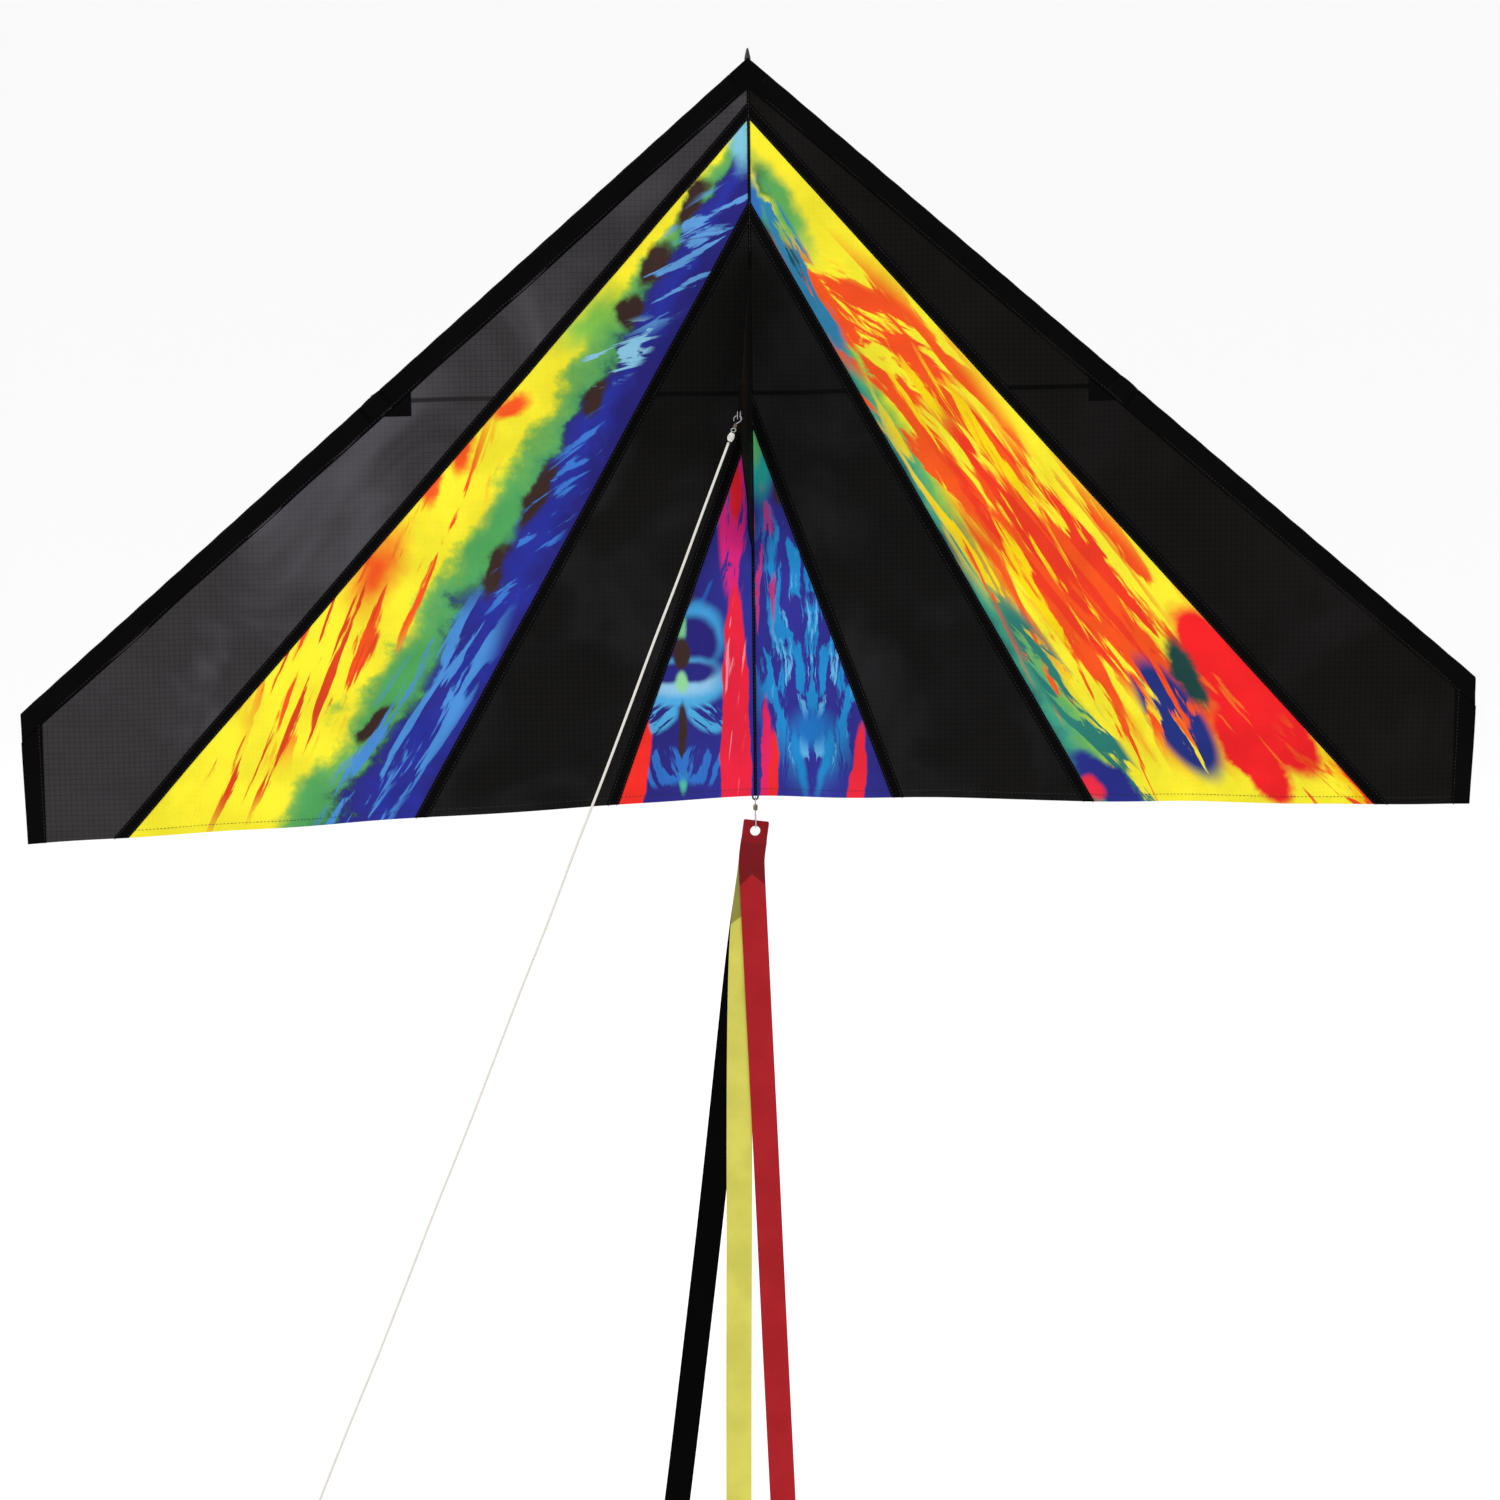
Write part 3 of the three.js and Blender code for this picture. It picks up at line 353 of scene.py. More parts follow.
@dataclass(frozen=True)
class ClothFinish:
    """A woven cloth of one colour, or a dyed one where a subclass paints it."""

    name: str
    colour: str
    thread: str
    through: float = 0.12
    roughness: float = 0.62
    sheen: float = 0.02
    grid: float = 0.5
    cell: float = 0.0052
    weave: float = 0.0007
    bump: float = 0.25
    gloss: float = 0.1
    painted_sheen: float = 0.0
    rod_shade: float = 0.0
    dark_end: float = 0.0

    def paint(self, tree: Tree, groups: GroupKit, place: Socket) -> Socket:
        """The cloth's own colour, before thread and handling.

        Args:
            tree: the material's tree.
            groups: the shared groups.
            place: the place on the flat cloth.

        Returns:
            A colour socket.
        """
        value = tree.add("ShaderNodeRGB")
        value.outputs[0].default_value = linear(self.colour)
        return value.outputs[0]

    def shade_rod(self, tree: Tree, place: Socket, base: Socket) -> Socket:
        """Paints the spreader rod's shadow where the rod lies behind the cloth, and painted shade at a
        ribbon's top end below the tab.

        Args:
            tree: the material's tree.
            place: the place on the flat cloth.
            base: the colour so far.

        Returns:
            A colour socket.
        """
        parts = tree.add("ShaderNodeSeparateXYZ", {0: place})
        if self.rod_shade:
            # Painted shadow: the spreader rod's shadow through the cloth, a dark line at its height.
            away = tree.math("ABSOLUTE", tree.math("ADD", parts.outputs[1], SPREADER_DROP))
            across = tree.ramp(away, 0.0034, 0.0012)
            share = tree.math("MULTIPLY", across, self.rod_shade)
            base = tree.mix(share, base, BLACK)
        # Painted shade: a ribbon's top end below the tab, where it is doubled and in shade, made darker.
        if self.dark_end:
            across = tree.math("PINGPONG", parts.outputs[0], 2 * RIBBON_MIDDLE)
            pointed = tree.math("ABSOLUTE", tree.math("SUBTRACT", across, RIBBON_MIDDLE))
            edge = tree.math("SUBTRACT", parts.outputs[1], tree.math("MULTIPLY", pointed, 0.9))
            share = tree.ramp(edge, self.dark_end + 0.0012, self.dark_end - 0.0012, 0.0, 0.55)
            base = tree.mix(share, base, BLACK)
        return base

    def build(self, groups: GroupKit) -> Material:
        """Makes the material.

        Args:
            groups: the shared groups.

        Returns:
            The finished material.
        """
        material = bpy.data.materials.new(self.name)
        material.use_nodes = True
        material.node_tree.nodes.clear()
        tree = Tree(material.node_tree)
        place = tree.add("ShaderNodeUVMap", uv_map="cloth").outputs[0]
        colour = self.paint(tree, groups, place)
        threads = {"Place": place, "Cell": self.cell, "Weave": self.weave}
        weave = tree.add("ShaderNodeGroup", threads, node_tree=groups.ripstop)
        marks = tree.add("ShaderNodeGroup", {"Place": place}, node_tree=groups.handling)
        thread = tree.math("MULTIPLY", weave.outputs["Grid"], self.grid)
        woven = tree.mix(thread, colour, linear(self.thread))
        rubbed = tree.math("MULTIPLY", marks.outputs["Rub"], 0.16)
        shaded = tree.mix(rubbed, woven, BLACK)
        if self.painted_sheen:
            # Painted sheen: soft lighter patches mixed toward a pale purple-grey, standing in for light on
            # the cloth.
            soft = tree.add("ShaderNodeTexNoise", {
                "Vector": place, "Scale": 7.0, "Detail": 3.0, "Roughness": 0.5, "Distortion": 0.8,
            })
            share = tree.ramp(soft.outputs[0], 0.42, 0.75, 0.0, self.painted_sheen)
            shaded = tree.mix(share, shaded, linear("8E8A96"))
        shaded = self.shade_rod(tree, place, shaded)
        creased = tree.math("MULTIPLY", marks.outputs["Crease"], 1.5)
        height = tree.math("ADD", weave.outputs["Height"], creased)
        bump = tree.add("ShaderNodeBump", {
            "Height": height, "Strength": self.bump, "Distance": 0.0003,
        })
        rough = tree.ramp(marks.outputs["Rub"], 0.0, 1.0, self.roughness - 0.06, self.roughness + 0.08)
        front = tree.add("ShaderNodeBsdfPrincipled", {
            "Base Color": shaded, "Roughness": rough, "Normal": bump.outputs[0],
            "Sheen Weight": self.sheen, "Sheen Roughness": 0.4, "Specular IOR Level": self.gloss,
        })
        through = tree.add("ShaderNodeBsdfTranslucent", {"Color": shaded, "Normal": bump.outputs[0]})
        both = tree.add("ShaderNodeMixShader", {0: self.through, 1: front.outputs[0], 2: through.outputs[0]})
        tree.add("ShaderNodeOutputMaterial", {0: both.outputs[0]})
        return material


@dataclass(frozen=True)
class DyedFinish(ClothFinish):
    """Dyed cloth: bands across the panel, then blots and streaks over them."""

    bands: tuple[tuple[float, str], ...] = ()
    lean: float = 0.0
    wander: float = 0.2
    bleed: float = 0.03
    fold: float = 0.0
    strokes: tuple[Blot | Streaks, ...] = ()

    def paint(self, tree: Tree, groups: GroupKit, place: Socket) -> Socket:
        """Paints the bands, blots and streaks.

        Args:
            tree: the material's tree.
            groups: the shared groups.
            place: the place on the flat cloth.

        Returns:
            A colour socket.
        """
        band = tree.add("ShaderNodeUVMap", uv_map="band").outputs[0]
        parts = tree.add("ShaderNodeSeparateXYZ", {0: band})
        short = tree.math("SUBTRACT", 1.0, parts.outputs[1])
        lean = tree.math("MULTIPLY", tree.math("POWER", tree.math("MAXIMUM", short, 0.0), 2.5), self.lean)
        noise = tree.add("ShaderNodeTexNoise", {
            "Vector": place, "Scale": 22.0, "Detail": 6.0, "Roughness": 0.6,
        })
        sway = tree.math("MULTIPLY", tree.math("SUBTRACT", noise.outputs[0], 0.5), self.wander)
        across = tree.math("ADD", tree.math("ADD", parts.outputs[0], lean), sway)
        ramp = tree.add("ShaderNodeValToRGB", {0: across})
        stops = ramp.color_ramp.elements
        for i, (at, code) in enumerate(self.bands):
            stop = stops[i] if i < 2 else stops.new(at)
            stop.position = at
            stop.color = linear(code)
        colour = ramp.outputs[0]
        creep = {"Place": place, "Reach": self.bleed, "Fineness": 24.0}
        bleed = tree.add("ShaderNodeGroup", creep, node_tree=groups.bleed)
        paired = self._paired(tree, bleed.outputs[0])
        for stroke in self.strokes:
            open_cloth = place if isinstance(stroke, Streaks) else bleed.outputs[0]
            where = paired if stroke.paired else open_cloth
            colour = self._stroke(tree, groups, stroke, where, colour)
        return colour

    def _paired(self, tree: Tree, place: Socket) -> Socket:
        """The place as on cloth dyed while folded in two: measured from the fold, alike on both sides.

        Args:
            tree: the material's tree.
            place: the place on the flat cloth.

        Returns:
            The folded place.
        """
        parts = tree.add("ShaderNodeSeparateXYZ", {0: place})
        away = tree.math("ABSOLUTE", tree.math("SUBTRACT", parts.outputs[0], self.fold))
        return tree.add("ShaderNodeCombineXYZ", {0: away, 1: parts.outputs[1], 2: 0.0}).outputs[0]

    def _stroke(self, tree: Tree, groups: GroupKit, stroke: Blot | Streaks, place: Socket,
                base: Socket) -> Socket:
        """Lays one blot or one run of streaks over the colour so far.

        Args:
            tree: the material's tree.
            groups: the shared groups.
            stroke: the blot or streaks.
            place: the place on the flat cloth.
            base: the colour so far.

        Returns:
            The new colour.
        """
        values = {
            "Place": place, "Base": base, "Colour": linear(stroke.colour),
            "Centre": (*stroke.centre, 0.0), "Size": (*stroke.size, 1.0), "Turn": math.radians(stroke.turn),
        }
        if isinstance(stroke, Blot):
            values["Edge"] = stroke.edge
            return tree.add("ShaderNodeGroup", values, node_tree=groups.blot).outputs[0]
        values |= {
            "Flow": math.radians(stroke.flow), "Fineness": stroke.fineness, "Stretch": stroke.stretch,
            "Bare": stroke.bare,
        }
        return tree.add("ShaderNodeGroup", values, node_tree=groups.streaks).outputs[0]


@dataclass(frozen=True)
class HardFinish:
    """A rod, moulding, metal or cord finish."""

    name: str
    colour: str
    roughness: float
    metallic: float = 0.0
    grain: float = 120.0
    grain_depth: float = 0.15
    worn: str = "808080"
    wear: float = 0.15

    def build(self, groups: GroupKit) -> Material:
        """Makes the material.

        Args:
            groups: the shared groups.

        Returns:
            The finished material.
        """
        material = bpy.data.materials.new(self.name)
        material.use_nodes = True
        material.node_tree.nodes.clear()
        tree = Tree(material.node_tree)
        place = tree.add("ShaderNodeTexCoord").outputs["Object"]
        worn = {"Place": place, "Fineness": self.grain}
        marks = tree.add("ShaderNodeGroup", worn, node_tree=groups.handling)
        fine = tree.add("ShaderNodeTexNoise", {"Vector": place, "Scale": self.grain * 12, "Detail": 3.0})
        share = tree.math("MULTIPLY", marks.outputs["Rub"], self.wear)
        colour = tree.mix(share, linear(self.colour), linear(self.worn))
        bump = tree.add("ShaderNodeBump", {
            "Height": fine.outputs[0], "Strength": self.grain_depth, "Distance": 0.0002,
        })
        rough = tree.ramp(marks.outputs["Rub"], 0.0, 1.0, self.roughness - 0.05, self.roughness + 0.1)
        shader = tree.add("ShaderNodeBsdfPrincipled", {
            "Base Color": colour, "Roughness": rough, "Metallic": self.metallic, "Normal": bump.outputs[0],
        })
        tree.add("ShaderNodeOutputMaterial", {0: shader.outputs[0]})
        return material


YELLOW = "F7EA2E"
INDIGO = "2B2A86"
CYAN = "1B86C8"
BROWN = "3A2723"

LEFT_PRINT = DyedFinish(
    "left print", YELLOW, "3A3A38", through=0.12, grid=0.03,
    bands=((0.0, YELLOW), (0.42, YELLOW), (0.47, "B2CC40"), (0.52, "74B356"), (0.63, "4FA062"),
           (0.675, "2E4A5A"), (0.7, INDIGO), (0.84, "26309E"), (1.0, "25227A")),
    lean=0.5, wander=0.55, bleed=0.034,
    strokes=(
        Blot("F4571C", (-0.365, -0.485), (0.036, 0.019), 62, 0.9),
        Streaks("F2521A", (-0.37, -0.50), (0.20, 0.062), 57, 68, 60, 9.0, 0.56),
        Streaks("D9421A", (-0.44, -0.60), (0.17, 0.045), 56, 66, 95, 12.0, 0.58),
        Blot("F4571C", (-0.312, -0.400), (0.030, 0.007), 76, 0.5),
        Blot("F4571C", (-0.277, -0.372), (0.022, 0.010), 78, 0.5),
        Blot("F06A1E", (-0.198, -0.268), (0.012, 0.007), 30, 0.6),
        Blot("F4571C", (-0.233, -0.330), (0.018, 0.008), 30, 0.6),
        Blot("7DBE4A", (-0.150, -0.250), (0.034, 0.016), 40, 0.8),
        Blot("4FA45A", (-0.250, -0.452), (0.060, 0.014), 62, 0.6),
        Blot("4FA45A", (-0.345, -0.600), (0.060, 0.018), 55, 0.7),
        Blot("4FA45A", (-0.435, -0.715), (0.030, 0.014), 70, 0.7),
        Blot(BROWN, (-0.055, -0.138), (0.024, 0.010), 55, 0.3),
        Blot(BROWN, (-0.090, -0.196), (0.024, 0.012), 62, 0.3),
        Blot(BROWN, (-0.116, -0.240), (0.018, 0.009), 62, 0.3),
        Blot(BROWN, (-0.150, -0.327), (0.020, 0.009), 60, 0.3),
        Blot(BROWN, (-0.208, -0.418), (0.034, 0.010), 58, 0.3),
        Blot(BROWN, (-0.250, -0.490), (0.026, 0.008), 66, 0.3),
        Blot(BROWN, (-0.370, -0.640), (0.022, 0.007), 50, 0.3),
        Blot("7FC4DA", (-0.008, -0.078), (0.012, 0.026), 0, 0.6),
        Streaks("5E9BD8", (-0.055, -0.185), (0.10, 0.030), 52, 25, 70, 6.0, 0.55),
        Streaks("8CC8E4", (-0.130, -0.285), (0.050, 0.022), 40, 15, 70, 5.0, 0.55),
        Streaks("3B78D0", (-0.20, -0.44), (0.12, 0.022), 60, 35, 120, 7.0, 0.57),
        Streaks("4A8ED6", (-0.34, -0.65), (0.17, 0.040), 56, 58, 75, 9.0, 0.52),
    ),
)
RIGHT_PRINT = DyedFinish(
    "right print", YELLOW, "3A3A38", through=0.12, grid=0.03,
    bands=((0.0, YELLOW), (0.76, YELLOW), (0.81, "B4CF3E"), (0.86, "6CB35E"), (0.94, "3A9A80"),
           (1.0, "2A5C62")),
    lean=0.12, wander=0.2, bleed=0.030,
    strokes=(
        Streaks("F4581A", (0.16, -0.33), (0.20, 0.060), -52, -48, 48, 8.0, 0.49),
        Streaks("F2501C", (0.12, -0.27), (0.10, 0.040), -40, -30, 60, 7.0, 0.50),
        Streaks("F4541A", (0.33, -0.53), (0.22, 0.070), -52, -56, 42, 10.0, 0.49),
        Streaks("EE3A1E", (0.30, -0.49), (0.20, 0.05), -52, -52, 90, 14.0, 0.53),
        Streaks("F9D80E", (0.26, -0.47), (0.24, 0.06), -53, -58, 80, 12.0, 0.58),
        Streaks("F2581A", (0.30, -0.60), (0.20, 0.03), -55, -64, 75, 12.0, 0.55),
        Blot("F01E22", (0.485, -0.632), (0.112, 0.032), -50, 0.12),
        Blot("F01E22", (0.490, -0.695), (0.060, 0.020), -52, 0.15),
        Streaks("F0681E", (0.50, -0.68), (0.10, 0.03), -50, -48, 80, 10.0, 0.60),
        Blot("F6C60C", (0.600, -0.722), (0.050, 0.018), -44, 0.3),
        Streaks("F04A1A", (0.57, -0.705), (0.07, 0.03), -44, -44, 70, 9.0, 0.50),
        Blot("1B4440", (0.425, -0.612), (0.040, 0.012), -60, 0.3),
        Streaks("20307E", (0.415, -0.655), (0.075, 0.024), -56, -60, 80, 8.0, 0.44),
        Streaks("2A7C70", (0.33, -0.665), (0.18, 0.018), -56, -48, 90, 7.0, 0.47),
        Blot("262C86", (0.350, -0.722), (0.050, 0.016), -40, 0.2),
        Blot("EE2A44", (0.328, -0.722), (0.014, 0.010), -40, 0.4),
        Blot(BROWN, (0.012, -0.118), (0.020, 0.006), -65, 0.4),
        Blot("2F6FB8", (0.006, -0.140), (0.022, 0.006), -75, 0.4),
        Blot("1D4A54", (0.044, -0.196), (0.026, 0.006), -62, 0.5),
        Blot("5FAE58", (0.030, -0.140), (0.050, 0.010), -60, 0.7),
        Streaks("2F7FA8", (0.05, -0.205), (0.10, 0.012), -64, -60, 90, 6.0, 0.47),
    ),
)
LEFT_CENTRE = DyedFinish(
    "left centre print", INDIGO, "16163A", through=0.1, grid=0.03,
    bands=((0.0, "241F72"), (0.5, INDIGO), (1.0, "2C2E92")), wander=0.5, bleed=0.009, fold=-0.071,
    strokes=(
        Streaks("1C5FB4", (0.0, -0.44), (0.05, 0.10), 0, 60, 80, 5.0, 0.54, True),
        Blot("3F9AD6", (0.012, -0.560), (0.030, 0.034), 0, 0.22, True),
        Blot("252078", (0.012, -0.568), (0.024, 0.028), 0, 0.2, True),
        Blot("4BA6DA", (0.008, -0.606), (0.036, 0.024), 0, 0.18, True),
        Blot("8FC4E6", (0.008, -0.604), (0.028, 0.015), 0, 0.4, True),
        Blot("26247E", (0.010, -0.596), (0.026, 0.010), 0, 0.3, True),
        Streaks("4BA6DA", (0.022, -0.640), (0.022, 0.014), -40, -40, 130, 6.0, 0.46, True),
        Blot("3F9A4E", (0.0, -0.470), (0.007, 0.024), 0, 0.3, True),
        Blot(BROWN, (0.0, -0.512), (0.012, 0.024), 0, 0.2, True),
        Blot("74C08A", (0.0, -0.550), (0.005, 0.014), 0, 0.4, True),
        Blot(BROWN, (0.0, -0.578), (0.008, 0.016), 0, 0.2, True),
        Blot("90D49A", (0.0, -0.606), (0.006, 0.010), 0, 0.4, True),
        Blot(BROWN, (0.0, -0.656), (0.004, 0.030), 0, 0.2, True),
        Blot("48B49A", (0.0, -0.702), (0.004, 0.014), 0, 0.4, True),
        Streaks("2C6CC0", (0.02, -0.69), (0.03, 0.02), 0, 70, 120, 4.0, 0.54, True),
        Streaks("D8207C", (-0.020, -0.440), (0.014, 0.09), 0, 80, 110, 6.0, 0.46),
        Blot("E01C2C", (-0.016, -0.420), (0.006, 0.028), 0, 0.3),
        Blot("E61F3C", (-0.0185, -0.74), (0.0150, 0.230), 0, 0.05),
        Streaks("F48A9A", (-0.018, -0.62), (0.012, 0.10), 0, 82, 160, 14.0, 0.62),
        Blot("F02A22", (-0.130, -0.720), (0.021, 0.085), -14, 0.05),
    ),
)
RIGHT_CENTRE = DyedFinish(
    "right centre print", INDIGO, "16163A", through=0.1, grid=0.05,
    bands=((0.0, "2A2880"), (0.5, "2F2E94"), (1.0, INDIGO)), wander=0.5, bleed=0.014, fold=0.056,
    strokes=(
        Streaks(CYAN, (0.0, -0.55), (0.06, 0.16), 0, 90, 70, 6.0, 0.50, True),
        Streaks("5FB0E0", (0.0, -0.60), (0.04, 0.12), 0, 84, 110, 6.0, 0.57, True),
        Blot("1B6DBA", (0.0, -0.655), (0.020, 0.018), 0, 0.6, True),
        Blot(CYAN, (0.012, -0.690), (0.004, 0.030), -12, 0.6, True),
        Blot("1FA39A", (0.008, -0.385), (0.012, 0.040), 0, 0.5),
        Blot("5CB874", (0.004, -0.372), (0.006, 0.022), 0, 0.5),
        Blot(BROWN, (0.026, -0.418), (0.006, 0.014), 0, 0.5),
        Streaks("B8327A", (0.01, -0.50), (0.012, 0.08), 0, 90, 130, 6.0, 0.58),
        Blot("DE1F5C", (0.0115, -0.722), (0.006, 0.095), 0, 0.12),
        Blot("E8242C", (0.0175, -0.722), (0.005, 0.065), 0, 0.1),
        Blot("E8243A", (0.098, -0.722), (0.008, 0.072), -6, 0.12),
    ),
)


@dataclass
class Wardrobe:
    """Every material of the kite, made once."""

    groups: GroupKit = field(default_factory=GroupKit)

    def __post_init__(self) -> None:
        """Builds the materials."""

        def make(finish: ClothFinish | HardFinish) -> Material:
            """Builds one finish."""
            return finish.build(self.groups)

        # The two outer panels are one black ripstop in two copies: the left copy's lighter colour is painted
        # sheen, the right copy is the plain dark cloth.
        self.sheen_lit_outer_black = make(ClothFinish("sheen-lit outer black ripstop", "2E2A2D", "121013", 0.08, 0.46, 0.02, 0.9,
                                         gloss=0.2, rod_shade=0.85, painted_sheen=0.16))
        self.dark_charcoal = make(ClothFinish("plain outer black ripstop", "12100E", "060504", 0.03, 0.46, 0.0,
                                              0.9, gloss=0.03, rod_shade=0.85, painted_sheen=0.01))
        self.black = make(ClothFinish("black ripstop", "11100F", "050404", 0.04, 0.5, 0.0, 0.85,
                                      gloss=0.04, rod_shade=0.85, painted_sheen=0.03))
        self.tape = make(ClothFinish("black tape", "030303", "080808", 0.0, 0.55, 0.0, 0.2, weave=0.0009,
                                     gloss=0.03))
        self.keel = make(ClothFinish("keel cloth", "0B0A0A", "040404", 0.02, 0.6, 0.0, 0.6, gloss=0.05))
        self.left_print = make(LEFT_PRINT)
        self.right_print = make(RIGHT_PRINT)
        self.left_centre = make(LEFT_CENTRE)
        self.right_centre = make(RIGHT_CENTRE)
        self.tab = make(ClothFinish("tab cloth", "86121A", "4E0A10", 0.0, 0.7, 0.0, 0.1, weave=0.0011))
        ribbon = {"roughness": 0.6, "grid": 0.14, "cell": 0.0016, "weave": 0.0009}
        self.red = make(ClothFinish("red ribbon", "A81C23", "7E1117", 0.1, dark_end=0.034, **ribbon))
        self.yellow = make(ClothFinish("yellow ribbon", "D8D25E", "B0AA44", 0.15, dark_end=0.075, **ribbon))
        self.dark = make(ClothFinish("black ribbon", "020202", "060606", 0.0, gloss=0.02, **ribbon))
        self.thread = make(HardFinish("black thread", "060606", 0.7, worn="2A2A2A"))
        self.red_thread = make(HardFinish("red thread", "4A0A10", 0.7, worn="7A2A2A"))
        self.rod = make(HardFinish("fibreglass rod", "101114", 0.3, grain=60, worn="33343A"))
        self.moulding = make(HardFinish("black moulding", "0C0C0D", 0.5, grain=200, worn="2C2C2E"))
        self.steel = make(HardFinish("bright wire", "B9BBBE", 0.24, 1.0, worn="8A8A88", wear=0.4))
        self.barrel = make(HardFinish("dark barrel", "5A5044", 0.32, 1.0, worn="9A8A6A", wear=0.5))
        self.braid = make(HardFinish("white braid", "D2D0C8", 0.8, grain=300, worn="BDB9AE", wear=0.35))


# ---------------------------------------------------------------- mesh helpers


@dataclass(frozen=True)
class Shell:
    """One closed layer of cloth: a convex outline, the depth of its front and its thickness."""

    outline: tuple[Spot, ...]
    front: float
    thick: float
    cell: float = 0.006


Surface = Callable[[float, float], float]
Placer = Callable[[float, float, float], Point]


def finished(name: str, mesh: bpy.types.Mesh, material: Material | None) -> Piece:
    """Puts a mesh in the scene at the origin with its material.

    Args:
        name: the piece's name.
        mesh: its mesh, in the row frame.
        material: its finish.

    Returns:
        The piece.
    """
    if material:
        mesh.materials.clear()
        mesh.materials.append(material)
    piece = bpy.data.objects.new(name, mesh)
    bpy.context.scene.collection.objects.link(piece)
    return piece


def trimmed_grid(outline: Sequence[Spot], cell: float, lines: Iterable[float]) -> bmesh.types.BMesh:
    """Makes an even grid in X and Z, cut to a convex outline.

    Args:
        outline: corners in order.
        cell: size of the grid's squares.
        lines: values of X where a further line of points is wanted.

    Returns:
        The grid.
    """
    xs = [p[0] for p in outline]
    zs = [p[1] for p in outline]
    columns = np.arange(math.floor(min(xs) / cell), math.ceil(max(xs) / cell) + 1) * cell
    rows = np.arange(math.floor(min(zs) / cell), math.ceil(max(zs) / cell) + 1) * cell
    grid = bmesh.new()
    verts = [[grid.verts.new((x, 0, z)) for x in columns] for z in rows]
    for low, high in zip(verts, verts[1:]):
        for i in range(len(columns) - 1):
            grid.faces.new((low[i], low[i + 1], high[i + 1], high[i]))
    middle = Vector((sum(xs) / len(xs), 0, sum(zs) / len(zs)))
    for (ax, az), (bx, bz) in zip(outline, [*outline[1:], outline[0]]):
        normal = Vector((bz - az, 0, ax - bx))
        corner = Vector((ax, 0, az))
        if normal.dot(middle - corner) > 0:
            normal.negate()
        everything = grid.verts[:] + grid.edges[:] + grid.faces[:]
        bmesh.ops.bisect_plane(grid, geom=everything, plane_co=corner, plane_no=normal, clear_outer=True,
                               dist=1e-6)
    for x in lines:
        everything = grid.verts[:] + grid.edges[:] + grid.faces[:]
        bmesh.ops.bisect_plane(grid, geom=everything, plane_co=(x, 0, 0), plane_no=(1, 0, 0), dist=1e-6)
    return grid


def cloth(name: str, shells: Sequence[Shell], material: Material, surface: Surface,
          place: Placer | None = None, band: Callable[[float, float], Spot] | None = None,
          lines: Iterable[float] = ()) -> Piece:
    """Makes one piece of cloth from closed layers that follow a surface.

    Args:
        name: the piece's name.
        shells: its layers.
        material: its finish.
        surface: depth of the surface at a flat place.
        place: where a flat place and a depth stand, if not in the sail's plane.
        band: second UV map, as position across and along the panel.
        lines: values of X where the cloth needs further points to bend.

    Returns:
        The piece.
    """
    whole = bmesh.new()
    for shell in shells:
        grid = trimmed_grid(shell.outline, shell.cell, lines)
        made = bmesh.ops.extrude_face_region(grid, geom=grid.faces[:], use_keep_orig=True)
        for vert in (item for item in made["geom"] if isinstance(item, bmesh.types.BMVert)):
            vert.co.y = shell.thick
        for vert in grid.verts:
            vert.co.y += shell.front
        part = bpy.data.meshes.new("layer")
        grid.to_mesh(part)
        grid.free()
        whole.from_mesh(part)
        bpy.data.meshes.remove(part)
    bmesh.ops.recalc_face_normals(whole, faces=whole.faces[:])
    flat = whole.loops.layers.uv.new("cloth")
    across = whole.loops.layers.uv.new("band") if band else None
    for face in whole.faces:
        face.smooth = True
        for loop in face.loops:
            x, z = loop.vert.co.x, loop.vert.co.z
            loop[flat].uv = (x, z)
            if across:
                loop[across].uv = band(x, z)
    for edge in whole.edges:
        if len(edge.link_faces) == 2 and edge.calc_face_angle(0) > 1.0:
            edge.smooth = False
    for vert in whole.verts:
        x, y, z = vert.co
        depth = y + surface(x, z)
        vert.co = place(x, depth, z) if place else (x, depth, z)
    mesh = bpy.data.meshes.new(name)
    whole.to_mesh(mesh)
    whole.free()
    if place:
        tidy_normals(mesh)
    return finished(name, mesh, material)


def tidy_normals(mesh: bpy.types.Mesh) -> None:
    """Turns every face of a closed mesh outwards.

    Args:
        mesh: the mesh to change.
    """
    work = bmesh.new()
    work.from_mesh(mesh)
    bmesh.ops.recalc_face_normals(work, faces=work.faces[:])
    work.to_mesh(mesh)
    work.free()


@dataclass(frozen=True)
class Run:
    """Closed sections of equal point counts, with the distance along the piece at each."""

    sections: Sequence[Sequence[Point]]
    lengths: Sequence[float]


